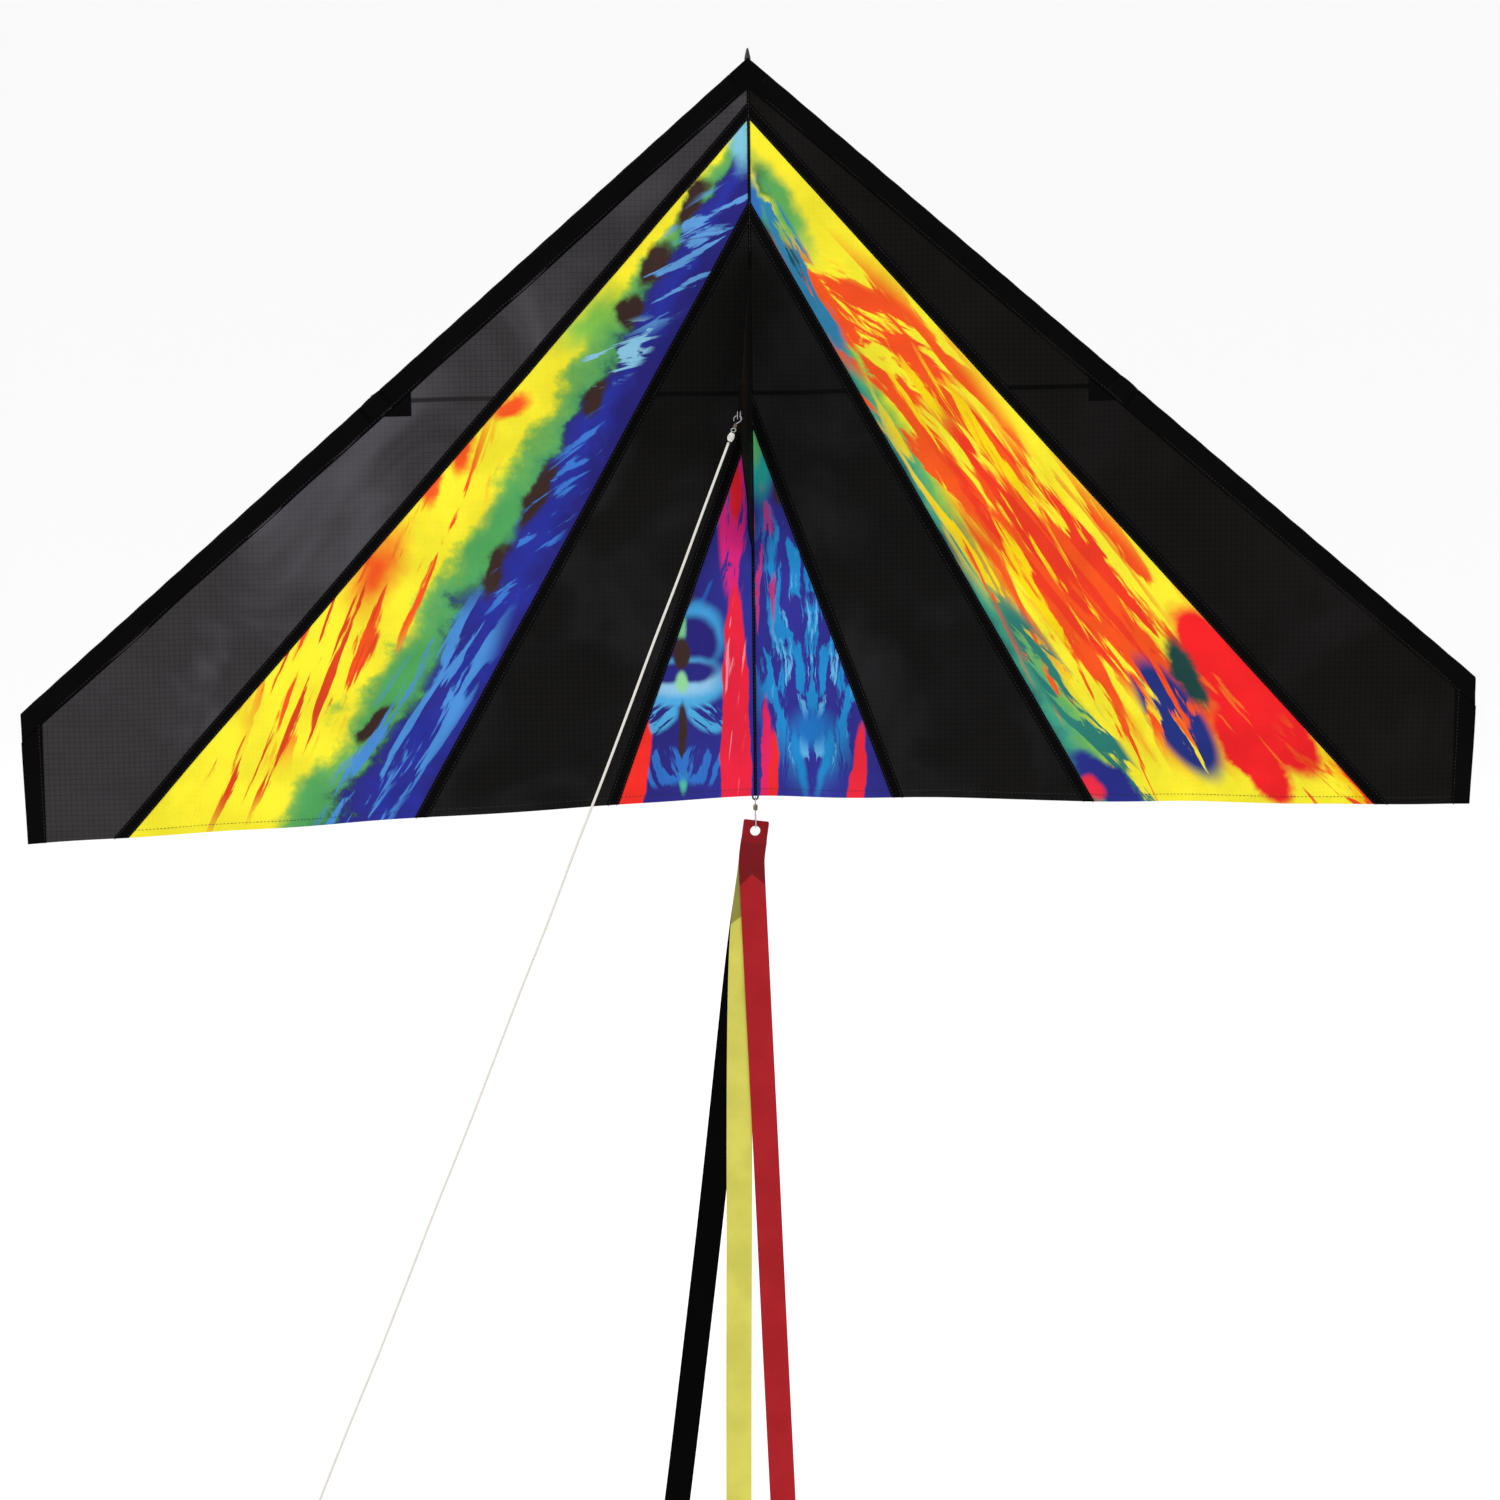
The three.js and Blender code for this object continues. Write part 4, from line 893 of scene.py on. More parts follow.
def swept(name: str, runs: Sequence[Run], material: Material) -> Piece:
    """Joins each run's sections into a closed body, all in one piece.

    Args:
        name: the piece's name.
        runs: the bodies' sections.
        material: its finish.

    Returns:
        The piece.
    """
    verts: list[Point] = []
    faces: list[tuple[int, ...]] = []
    uvs: list[tuple[Spot, ...]] = []
    for run in runs:
        sections, lengths = run.sections, run.lengths
        count = len(sections[0])
        base = len(verts)
        verts.extend(point for section in sections for point in section)
        around = [0.0]
        for a, b in zip(sections[0], [*sections[0][1:], sections[0][0]]):
            around.append(around[-1] + (Vector(b) - Vector(a)).length)
        for j in range(len(sections) - 1):
            for i in range(count):
                k = (i + 1) % count
                here, there = base + j * count, base + (j + 1) * count
                faces.append((here + i, here + k, there + k, there + i))
                uvs.append(((around[i], lengths[j]), (around[i + 1], lengths[j]),
                            (around[i + 1], lengths[j + 1]), (around[i], lengths[j + 1])))
        for j, step in ((0, -1), (len(sections) - 1, 1)):
            faces.append(tuple(base + j * count + i for i in range(count))[::step])
            uvs.append(tuple((around[i], lengths[j]) for i in range(count))[::step])
    mesh = bpy.data.meshes.new(name)
    mesh.from_pydata(verts, [], faces)
    layer = mesh.uv_layers.new(name="cloth")
    layer.data.foreach_set("uv", [v for face in uvs for pair in face for v in pair])
    mesh.polygons.foreach_set("use_smooth", [True] * len(mesh.polygons))
    tidy_normals(mesh)
    return finished(name, mesh, material)


def pierced(name: str, layers: Sequence[Sequence[Point]], flat_axes: tuple[int, int],
            material: Material) -> Piece:
    """Makes doubled cloth with a hole from rings of points, the front's and then the back's.

    Args:
        name: the piece's name.
        layers: rings from the hole to the rim, first in front, then behind.
        flat_axes: the two axes that measure the flat cloth.
        material: its finish.

    Returns:
        The piece.
    """
    count = len(layers[0])
    rings = len(layers) // 2
    faces = []
    joints = [(side * rings + k, side * rings + k + 1) for side in (0, 1) for k in range(rings - 1)]
    joints += [(0, rings), (rings - 1, 2 * rings - 1)]
    for low, high in joints:
        for i in range(count):
            j = (i + 1) % count
            faces.append((low * count + i, low * count + j, high * count + j, high * count + i))
    mesh = bpy.data.meshes.new(name)
    mesh.from_pydata([point for layer in layers for point in layer], [], faces)
    flat = mesh.uv_layers.new(name="cloth")
    for loop in mesh.loops:
        spot = mesh.vertices[loop.vertex_index].co
        flat.data[loop.index].uv = [spot[axis] for axis in flat_axes]
    mesh.polygons.foreach_set("use_smooth", [True] * len(mesh.polygons))
    tidy_normals(mesh)
    return finished(name, mesh, material)


def tube_sections(points: Sequence[Vector], radius: float, sides: int = 12) -> list[list[Vector]]:
    """Round sections along a path, carried on without twisting.

    Args:
        points: the path.
        radius: the tube's radius.
        sides: points in a section.

    Returns:
        One ring of points for each point of the path.
    """
    ways = [(b - a).normalized() for a, b in zip(points, points[1:])]
    ways = [ways[0], *[(a + b).normalized() for a, b in zip(ways, ways[1:])], ways[-1]]
    side = ways[0].orthogonal().normalized()
    rings = []
    for point, way in zip(points, ways):
        side = (side - way * side.dot(way)).normalized()
        other = way.cross(side)
        turns = [2 * math.pi * i / sides for i in range(sides)]
        rings.append([point + (side * math.cos(t) + other * math.sin(t)) * radius for t in turns])
    return rings


def tube(name: str, points: Sequence[Vector], radius: float, material: Material,
         sides: int = 12) -> Piece:
    """A closed round tube along a path.

    Args:
        name: the piece's name.
        points: the path.
        radius: the tube's radius.
        material: its finish.
        sides: points in a section.

    Returns:
        The piece.
    """
    lengths = [0.0]
    for a, b in zip(points, points[1:]):
        lengths.append(lengths[-1] + (b - a).length)
    return swept(name, [Run(tube_sections(points, radius, sides), lengths)], material)


def smooth_path(stops: Sequence[Vector], count: int) -> list[Vector]:
    """Points along a smooth curve through the stops.

    Args:
        stops: points that the curve passes through.
        count: points wanted for each stretch.

    Returns:
        The curve's points.
    """
    ends = [stops[0] * 2 - stops[1], *stops, stops[-1] * 2 - stops[-2]]
    path = []
    for a, b, c, d in zip(ends, ends[1:], ends[2:], ends[3:]):
        for i in range(count):
            t = i / count
            path.append(0.5 * (2 * b + (c - a) * t + (2 * a - 5 * b + 4 * c - d) * t * t
                               + (3 * b - a - 3 * c + d) * t ** 3))
    return [*path, stops[-1].copy()]


def dress(nodes: Iterable[str], material: Material) -> None:
    """Gives carried-over parts of the frame a finish.

    Args:
        nodes: the parts.
        material: the finish that they get.
    """
    for node in nodes:
        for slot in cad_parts[node].material_slots:
            slot.link = "OBJECT"
            slot.material = material


def settle(piece: Piece, body: str | None = None, nodes: Iterable[str] = ()) -> None:
    """Hides the nodes that a piece stands for and says what it moves with.

    Args:
        piece: the piece.
        body: the body that it rides on, if any.
        nodes: the nodes that it stands for.
    """
    for node in nodes:
        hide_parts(node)
    if body:
        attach(piece, body)


# ---------------------------------------------------------------- stitching


@dataclass
class Stitching:
    """Lockstitch rows laid along guide lines by a Geometry Nodes tree."""

    spacing: float = 0.0036
    length: float = 0.0025
    thread: float = 0.0003
    seed: int = 11

    def __post_init__(self) -> None:
        """Builds the tree once."""
        self.tree = bpy.data.node_groups.new("stitch rows", "GeometryNodeTree")
        face = self.tree.interface
        face.new_socket("Geometry", in_out="INPUT", socket_type="NodeSocketGeometry")
        self.sockets = {
            label: face.new_socket(label, in_out="INPUT", socket_type="NodeSocket" + kind).identifier
            for label, kind in (("Spacing", "Float"), ("Length", "Float"), ("Thread", "Float"),
                                ("Seed", "Int"), ("Material", "Material"))
        }
        face.new_socket("Geometry", in_out="OUTPUT", socket_type="NodeSocketGeometry")
        work = Tree(self.tree)
        start = work.add("NodeGroupInput")
        rows = work.add("GeometryNodeMeshToCurve", {"Mesh": start.outputs["Geometry"]})
        points = work.add("GeometryNodeCurveToPoints", {
            "Curve": rows.outputs[0], "Length": start.outputs["Spacing"],
        }, mode="LENGTH")
        turn = work.add("FunctionNodeAlignRotationToVector", {"Vector": points.outputs["Tangent"]}, axis="Z")
        half = work.add("ShaderNodeMath", {0: start.outputs["Length"], 1: 0.5}, operation="MULTIPLY")
        size = work.add("ShaderNodeCombineXYZ", {
            0: start.outputs["Thread"], 1: start.outputs["Thread"], 2: half.outputs[0],
        })
        vary = work.add("FunctionNodeRandomValue", {"Seed": start.outputs["Seed"]}, data_type="FLOAT")
        vary.inputs[2].default_value = 0.85
        vary.inputs[3].default_value = 1.1
        sized = work.add("ShaderNodeVectorMath", {0: size.outputs[0]}, operation="SCALE")
        self.tree.links.new(vary.outputs[1], sized.inputs["Scale"])
        bead = work.add("GeometryNodeMeshUVSphere", {"Segments": 6, "Rings": 4, "Radius": 1.0})
        laid = work.add("GeometryNodeInstanceOnPoints", {
            "Points": points.outputs["Points"], "Instance": bead.outputs["Mesh"],
            "Rotation": turn.outputs[0], "Scale": sized.outputs[0],
        })
        real = work.add("GeometryNodeRealizeInstances", {0: laid.outputs[0]})
        done = work.add("GeometryNodeSetMaterial", {
            "Geometry": real.outputs[0], "Material": start.outputs["Material"],
        })
        work.add("NodeGroupOutput", {0: done.outputs[0]})

    def sew(self, name: str, rows: Sequence[Sequence[Point]], thread: Material) -> Piece:
        """Sews rows of stitches as one plain mesh.

        Args:
            name: the piece's name.
            rows: guide lines, each a list of points.
            thread: the thread's finish.

        Returns:
            The piece.
        """
        verts: list[Point] = []
        edges = []
        for row in rows:
            first = len(verts)
            verts.extend(row)
            edges.extend((first + i, first + i + 1) for i in range(len(row) - 1))
        guide = bpy.data.meshes.new("guide")
        guide.from_pydata(verts, edges, [])
        holder = bpy.data.objects.new(name + "_guide", guide)
        bpy.context.scene.collection.objects.link(holder)
        modifier = holder.modifiers.new("stitches", "NODES")
        modifier.node_group = self.tree
        values = {"Spacing": self.spacing, "Length": self.length, "Thread": self.thread, "Seed": self.seed,
                  "Material": thread}
        for label, value in values.items():
            modifier[self.sockets[label]] = value
        solid = bpy.data.meshes.new_from_object(holder.evaluated_get(bpy.context.evaluated_depsgraph_get()))
        holder.modifiers.remove(modifier)
        bpy.data.objects.remove(holder)
        solid.polygons.foreach_set("use_smooth", [True] * len(solid.polygons))
        solid.name = name
        return finished(name, solid, thread)


# ---------------------------------------------------------------- the sail's shape


@dataclass
class Drape:
    """How far the flying cloth stands behind (+) or in front (-) of its flat plane."""

    seed: int = 5
    ripples: int = 9
    ripple_depth: float = 0.0009
    flute_depth: float = 0.0026
    edge_depth: float = 0.0016

    def __post_init__(self) -> None:
        """Draws the ripples' directions, lengths and phases."""
        rng = np.random.default_rng(self.seed)
        angles = rng.uniform(0, math.pi, self.ripples)
        lengths = rng.uniform(0.07, 0.24, self.ripples)
        self.kx = 2 * math.pi * np.cos(angles) / lengths
        self.kz = 2 * math.pi * np.sin(angles) / lengths
        self.phase = rng.uniform(0, 2 * math.pi, self.ripples)
        self.size = self.ripple_depth * lengths / 0.15

    def depth(self, x: float, z: float) -> float:
        """The cloth's depth.

        Args:
            x: place across the span.
            z: height.

        Returns:
            Depth in metres.
        """
        out = abs(x)
        calm = min(1.0, out / 0.05)
        ripple = float(np.sum(self.size * np.sin(self.kx * x + self.kz * z + self.phase)))
        way = math.atan2(out, -z + 1e-6)
        reach = min(1.0, math.hypot(x, z) / 0.75)
        flutes = math.sin(way * 27 + (0.8 if x > 0 else 2.1)) * self.flute_depth * reach ** 2
        lead = SAIL.from_lead(out, z)
        beside = math.sin(math.hypot(x, z) * 74 + (0.5 if x > 0 else 1.7)) * math.exp(-max(lead, 0) / 0.05)
        return calm * (ripple + flutes + beside * self.edge_depth)


@dataclass
class SailPlan:
    """The flat sail's own sizes, in metres, and the lines that its panels follow."""

    spine: float = 0.721
    half_span: float = 0.712
    tip_drop: float = 0.621
    tip_length: float = 0.129
    tip_rake: float = 0.003
    lead_band: float = 0.022
    tip_band: float = 0.018
    trail_band: float = 0.008
    tape: float = 0.011
    rod_depth: float = 0.0004
    sleeve_radius: float = 0.00315

    def __post_init__(self) -> None:
        """Works out the corners and directions."""
        self.lead_tip = (self.half_span, -self.tip_drop)
        self.trail_tip = (self.half_span - self.tip_rake, -self.tip_drop - self.tip_length)
        self.trail_mid = (0.0, -self.spine)
        self.lead_length = math.hypot(*self.lead_tip)
        self.lead_way = (self.lead_tip[0] / self.lead_length, self.lead_tip[1] / self.lead_length)
        self.miter = -self.lead_way[1] / self.lead_way[0]

    def from_lead(self, x: float, z: float) -> float:
        """Distance inwards from the leading edge."""
        return -(x * -self.lead_way[1] + z * self.lead_way[0])

    def on_lead(self, along: float, inward: float) -> Spot:
        """The place that is so far along the leading edge and so far inwards from it."""
        way = self.lead_way
        return (way[0] * along + way[1] * inward, way[1] * along - way[0] * inward)

    def trail_at(self, x: float) -> float:
        """Height of the trailing edge at a distance from the spine."""
        tip = self.trail_tip
        return -self.spine + (tip[1] + self.spine) * x / tip[0]

    def seam_end(self, seam: Seam) -> Spot:
        """Where a seam meets the trailing edge."""
        out = seam.value[1] * MM
        return (out, self.trail_at(out))

    def seam_top(self, seam: Seam) -> Spot:
        """Where a seam starts on the spine."""
        return (0.0, -seam.value[0] * MM)

    def beside_seam(self, seam: Seam, amount: float) -> tuple[Spot, Spot]:
        """The seam moved sideways, outwards where the amount is positive, from spine to trailing edge.

        Args:
            seam: the seam.
            amount: how far it is moved.

        Returns:
            Its two ends.
        """
        (ax, az), (bx, bz) = self.seam_top(seam), self.seam_end(seam)
        size = math.hypot(bx - ax, bz - az)
        slope = (bz - az) / (bx - ax)
        top = az + amount * size / (bx - ax)
        end = (top + self.spine) / ((self.trail_tip[1] + self.spine) / self.trail_tip[0] - slope)
        return (0.0, top), (end, self.trail_at(end))

    def from_seam(self, seam: Seam, x: float, z: float) -> float:
        """Distance outwards from a seam.

        Args:
            seam: the seam.
            x: place across the span.
            z: height.

        Returns:
            The distance.
        """
        (ax, az), (bx, bz) = self.seam_top(seam), self.seam_end(seam)
        size = math.hypot(bx - ax, bz - az)
        return ((x - ax) * -(bz - az) + (z - az) * (bx - ax)) / size


SAIL = SailPlan()
DRAPE = Drape()


# ---------------------------------------------------------------- sub-assemblies


@dataclass
class Wing:
    """One wing's cloth: panels, tapes, sleeve, hems, patch and stitching."""

    side: Side
    stitching: Stitching
    wardrobe: Wardrobe
    cloth_thick: float = 0.00025
    tape_front: float = -0.00042
    tape_thick: float = 0.0003
    hem_back: float = 0.00042
    fold_in: float = 0.002
    fold_out: float = 0.0065
    sleeve_start: float = 0.018
    sleeve_end: float = 0.0006
    cap_end: float = 0.0153
    clip_cover: float = 0.0040
    notch_half: float = 0.013
    tip_front: float = -0.0006
    tip_thick: float = 0.0018
    patch_start: float = 0.328
    patch_foot: float = -0.338
    seam_inset: float = 0.0016

    def __post_init__(self) -> None:
        """Finds how far along the leading edge the spreader meets its rod."""
        self.sign = self.side.value
        low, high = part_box("spreader_rod")
        drop = (low[2] + high[2]) / 2
        self.clip_along = (drop + SAIL.sleeve_radius * SAIL.lead_way[0]) / SAIL.lead_way[1]

    def flip(self, spots: Sequence[Spot]) -> tuple[Spot, ...]:
        """The same outline on this wing's side."""
        return tuple((x * self.sign, z) for x, z in spots)

    def bend(self, piece: Piece) -> Piece:
        """Bakes a piece's placement into its mesh.

        Args:
            piece: the piece.

        Returns:
            The piece.
        """
        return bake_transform(piece)

    @property
    def fold_lines(self) -> list[float]:
        """Values of X where the cloth needs points to bend at the fold."""
        step = (self.fold_out - self.fold_in) / 4
        return [self.sign * (self.fold_in + step * i) for i in range(5)]

    def band(self, outer: Seam, inner: Seam | None) -> Callable[[float, float], Spot]:
        """Position across a panel, zero at its outer seam, and along it, one at the trailing edge.

        Args:
            outer: the seam at its outer side.
            inner: the seam at its inner side, or the spine if none.

        Returns:
            The function that measures it.
        """

        def measure(x: float, z: float) -> Spot:
            """Position across and along.

            Args:
                x: place across the span.
                z: height.

            Returns:
                Across and along.
            """
            out = abs(x)
            far = max(-SAIL.from_seam(outer, out, z), 0.0)
            near = max(SAIL.from_seam(inner, out, z), 0.0) if inner else out
            total = max(far + near, 1e-6)
            return far / total, -z / 0.76

        return measure

    def panel_outlines(self) -> dict[str, list[Spot]]:
        """Each panel from the spine to the trailing edge, on the right-hand side."""
        top = {seam: SAIL.seam_top(seam) for seam in Seam}
        end = {seam: SAIL.seam_end(seam) for seam in Seam}
        start = SAIL.on_lead(0.0, SAIL.lead_band - 0.002)
        lead_low = (0.0, start[1] - start[0] * SAIL.lead_way[1] / SAIL.lead_way[0])
        lead_end = SAIL.on_lead(SAIL.lead_length - 0.004, SAIL.lead_band - 0.002)
        tip_end = (SAIL.trail_tip[0] - 0.004, SAIL.trail_at(SAIL.trail_tip[0] - 0.004))
        return {
            "outer": [lead_low, lead_end, tip_end, end[Seam.OUTER], top[Seam.OUTER]],
            "print": [top[Seam.OUTER], end[Seam.OUTER], end[Seam.INNER], top[Seam.INNER]],
            "inner": [top[Seam.INNER], end[Seam.INNER], end[Seam.CENTRE], top[Seam.CENTRE]],
            "centre": [top[Seam.CENTRE], end[Seam.CENTRE], SAIL.trail_mid],
        }

    def hem_outline(self, outline: Sequence[Spot]) -> list[Spot]:
        """The strip that is folded up behind a panel's trailing edge.

        Args:
            outline: the panel's corners.

        Returns:
            The hem's corners.
        """
        foot = sorted(spot for spot in outline if abs(spot[1] - SAIL.trail_at(spot[0])) < 1e-5)
        left, right = foot[0], foot[-1]
        raised = []
        for corner in (right, left):
            at = outline.index(corner)
            near = max((outline[at - 1], outline[(at + 1) % len(outline)]), key=lambda spot: spot[1])
            share = SAIL.trail_band / (near[1] - corner[1])
            raised.append((corner[0] + (near[0] - corner[0]) * share, corner[1] + SAIL.trail_band))
        return [left, right, *raised]

    def panels(self) -> None:
        """Cuts and hems the four panels."""
        word = self.side.word
        looks = {
            # The left outer panel takes the copy lightened with painted sheen.
            "outer": self.wardrobe.sheen_lit_outer_black if self.side is Side.LEFT else self.wardrobe.dark_charcoal,
            "print": getattr(self.wardrobe, f"{word}_print"),
            "inner": self.wardrobe.black,
            "centre": getattr(self.wardrobe, f"{word}_centre"),
        }
        bands = {
            "print": self.band(Seam.OUTER, Seam.INNER),
            "centre": self.band(Seam.CENTRE, None),
        }
        for name, outline in self.panel_outlines().items():
            hem = self.hem_outline(outline)
            shells = [
                Shell(self.flip(outline), 0.0001, self.cloth_thick),
                Shell(self.flip(hem), self.hem_back, self.cloth_thick),
            ]
            piece = cloth(f"{word}_{name}_cloth", shells, looks[name], DRAPE.depth, band=bands.get(name),
                          lines=self.fold_lines)
            xs, zs = [p[0] for p in outline], [p[1] for p in outline]
            flat = (max(xs) - min(xs), max(zs) - min(zs))
            area = polygon_area(outline) + polygon_area(hem)
            if area < 0.3 * flat[0] * flat[1]:
                run = max(math.dist(a, b) for a in outline for b in outline)
                flat = (area / run * 1.6, run)
            hems = [f"{word}_trailing_hem"] if name == "outer" else []
            settle(piece, nodes=[f"{word}_{name}_panel", *hems])
            self.bend(piece)
            LOG.info("%s: %.3f square metres", piece.name, area)

    def tapes(self) -> None:
        """Lays the tapes over the seams."""
        word = self.side.word
        for seam in Seam:
            high = SAIL.beside_seam(seam, SAIL.tape / 2)
            low = SAIL.beside_seam(seam, -SAIL.tape / 2)
            outline = [high[0], high[1], low[1], low[0]]
            shell = Shell(self.flip(outline), self.tape_front, self.tape_thick, 0.0055)
            name = seam.name.lower()
            piece = cloth(f"{word}_{name}_tape", [shell], self.wardrobe.tape, DRAPE.depth,
                          lines=self.fold_lines)
            run = math.dist(high[0], high[1])
            settle(piece, nodes=[f"{word}_{name}_seam_tape"])
            self.bend(piece)

    def sleeve(self) -> None:
        """Folds the leading edge's sleeve round its rod, open where the connector sits."""
        start = self.sleeve_start / SAIL.lead_way[0] + 0.0004
        end = SAIL.lead_length - self.sleeve_end
        low, high = self.clip_along - self.notch_half, self.clip_along + self.notch_half
        runs = []
        for first, last, open_here in ((start, low, False), (low, high, True), (high, end, False)):
            alongs = np.linspace(first, last, max(3, int((last - first) / 0.006)))
            section = self.cover_section if open_here else self.sleeve_section
            runs.append(Run([section(along) for along in alongs], list(alongs)))
        piece = swept(f"{self.side.word}_sleeve", runs, self.wardrobe.tape)
        settle(piece, f"{self.side.word}_wing", [f"{self.side.word}_leading_sleeve"])

    def sleeve_section(self, along: float) -> list[Point]:
        """One section of the folded sleeve: its outer face, then its inner face.

        Args:
            along: distance from the nose along the leading edge.

        Returns:
            The section's points in the row frame.
        """
        outer = SAIL.sleeve_radius + 0.0003 * math.sin(along * 90) ** 2
        ring = []
        for radius, lip, order in ((outer, 0.0005, 1), (outer - self.cloth_thick, 0.00025, -1)):
            lean = math.asin((radius - lip) / (SAIL.lead_band - SAIL.sleeve_radius))
            turns = np.linspace(math.pi / 2 - lean, 1.5 * math.pi + lean, 15)
            lips = self.lips(lip)
            path = [*lips, *self.arc(radius, turns), *[(inward, -depth) for inward, depth in reversed(lips)]]
            ring += path[::order]
        return self.on_edge(along, ring)

    def cover_section(self, along: float) -> list[Point]:
        """One section of the sleeve over the connector, whole in front and cut away behind.

        Args:
            along: distance from the nose along the leading edge.

        Returns:
            The section's points in the row frame.
        """
        share = (along - self.clip_along) / self.notch_half
        outer = SAIL.sleeve_radius + (self.clip_cover - SAIL.sleeve_radius) * (1 - share ** 6)
        ring = []
        for radius, lip, order in ((outer, 0.0005, 1), (outer - self.cloth_thick, 0.00025, -1)):
            lean = math.asin((radius - lip) / (SAIL.lead_band - SAIL.sleeve_radius))
            turns = np.linspace(0.92 * math.pi, 1.5 * math.pi + lean, 12)
            back = [(inward, -depth) for inward, depth in reversed(self.lips(lip))]
            path = [*self.arc(radius, turns), *back]
            ring += path[::order]
        return self.on_edge(along, ring)

    @staticmethod
    def lips(lip: float) -> list[Spot]:
        """The flat stretch of the sleeve, from its sewn lip towards the rod."""
        return [(SAIL.lead_band, lip), (SAIL.lead_band * 0.85, lip * 1.2), (SAIL.lead_band * 0.6, lip * 2)]

    @staticmethod
    def arc(radius: float, turns: Iterable[float]) -> list[Spot]:
        """The sleeve's turn round the rod."""
        return [(SAIL.sleeve_radius + radius * math.cos(t), radius * math.sin(t)) for t in turns]

    def on_edge(self, along: float, ring: Sequence[Spot]) -> list[Point]:
        """Puts a section's points, given as inward reach and depth, on the leading edge.

        Args:
            along: distance from the nose along the leading edge.
            ring: the section's points.

        Returns:
            The points in the row frame.
        """
        points = []
        near = 2 * SAIL.sleeve_radius
        tip = max(0.0, 1 - (SAIL.lead_length - along) / SAIL.lead_band)
        for inward, depth in ring:
            x, z = SAIL.on_lead(along + tip * SAIL.miter * inward, inward)
            share = min(1.0, max(0.0, (inward - near) / (SAIL.lead_band - near)))
            drape = DRAPE.depth(x * self.sign, z) * share
            points.append((x * self.sign, SAIL.rod_depth + depth + drape, z))
        return points

    def tip_hem(self) -> None:
        """Doubles the cloth along the wing's tip, cut to meet the sleeve."""
        word = self.side.word
        band = SAIL.lead_band - 0.0006
        corner = SAIL.on_lead(SAIL.lead_length + SAIL.miter * band - 0.0004, band)
        inner_x = SAIL.trail_tip[0] - SAIL.tip_band
        high = SAIL.on_lead((inner_x - SAIL.lead_way[1] * band) / SAIL.lead_way[0], band)
        outline = [corner, SAIL.trail_tip, (inner_x, SAIL.trail_at(inner_x)), high]
        shell = Shell(self.flip(outline), self.tip_front, self.tip_thick, 0.0045)
        piece = cloth(f"{word}_tip_cloth", [shell], self.wardrobe.tape, DRAPE.depth)
        settle(piece, f"{word}_wing", [f"{word}_tip_hem"])

    def patch(self) -> None:
        """Sews the doubled three-cornered patch under the connector."""
        word = self.side.word
        slope = -SAIL.lead_way[1] / SAIL.lead_way[0]
        under = SAIL.lead_band / SAIL.lead_way[0]
        top = -self.patch_start * slope - under
        reach = (-self.patch_foot - under) / slope
        outline = [(self.patch_start, top), (reach, self.patch_foot), (self.patch_start, self.patch_foot)]
        shell = Shell(self.flip(outline), self.tape_front, self.tape_thick, 0.005)
        piece = cloth(f"{word}_patch_cloth", [shell], self.wardrobe.tape, DRAPE.depth)
        polygon_area(outline)
        settle(piece, f"{word}_wing", [f"{word}_connector_patch"])

    def row(self, start: Spot, end: Spot, front: float, count: int = 120) -> list[Point]:
        """A stitch row's guide line just in front of the cloth.

        Args:
            start: one end.
            end: the other end.
            front: depth in front of the sail's plane.
            count: stretches in the line.

        Returns:
            The line's points.
        """
        points = []
        for i in range(count + 1):
            t = i / count
            x = (start[0] + (end[0] - start[0]) * t) * self.sign
            z = start[1] + (end[1] - start[1]) * t
            points.append((x, front + DRAPE.depth(x, z), z))
        return points

    def stitches(self) -> None:
        """Sews the tapes, hems and sleeve."""
        rows = []
        for seam in Seam:
            for amount in (SAIL.tape / 2 - self.seam_inset, self.seam_inset - SAIL.tape / 2):
                start, end = SAIL.beside_seam(seam, amount)
                rows.append(self.row(start, end, self.tape_front - 0.00005))
        lift = SAIL.trail_band - 0.001
        near, far = 0.001, SAIL.trail_tip[0] - SAIL.tip_band
        rows.append(self.row((near, SAIL.trail_at(near) + lift), (far, SAIL.trail_at(far) + lift), 0.00005))
        near = SAIL.on_lead(0.03, SAIL.lead_band - 0.003)
        far = SAIL.on_lead(SAIL.lead_length - self.cap_end - 0.004, SAIL.lead_band - 0.003)
        rows.append(self.row(near, far, SAIL.rod_depth - 0.0008))
        inner = SAIL.trail_tip[0] - SAIL.tip_band + 0.0015
        high = (inner + 0.002, -SAIL.tip_drop - 0.012)
        rows.append(self.row(high, (inner, SAIL.trail_at(inner)), self.tip_front - 0.00002))
        piece = self.stitching.sew(f"{self.side.word}_wing_stitches", rows, self.wardrobe.thread)
        settle(piece)
        self.bend(piece)

    def build(self) -> None:
        """Makes the whole wing."""
        self.panels()
        self.tapes()
        self.sleeve()
        self.tip_hem()
        self.patch()
        self.stitches()
        word = self.side.word
        dress([f"{word}_leading_rod"], self.wardrobe.rod)
        dress([f"{word}_tip_cap", f"{word}_spreader_clip", f"{word}_spreader_cap"], self.wardrobe.moulding)
        LOG.info("%s wing done", word)


def polygon_area(outline: Sequence[Spot]) -> float:
    """Area of a plane outline."""
    pairs = zip(outline, [*outline[1:], outline[0]])
    return abs(sum(ax * bz - bx * az for (ax, az), (bx, bz) in pairs)) / 2


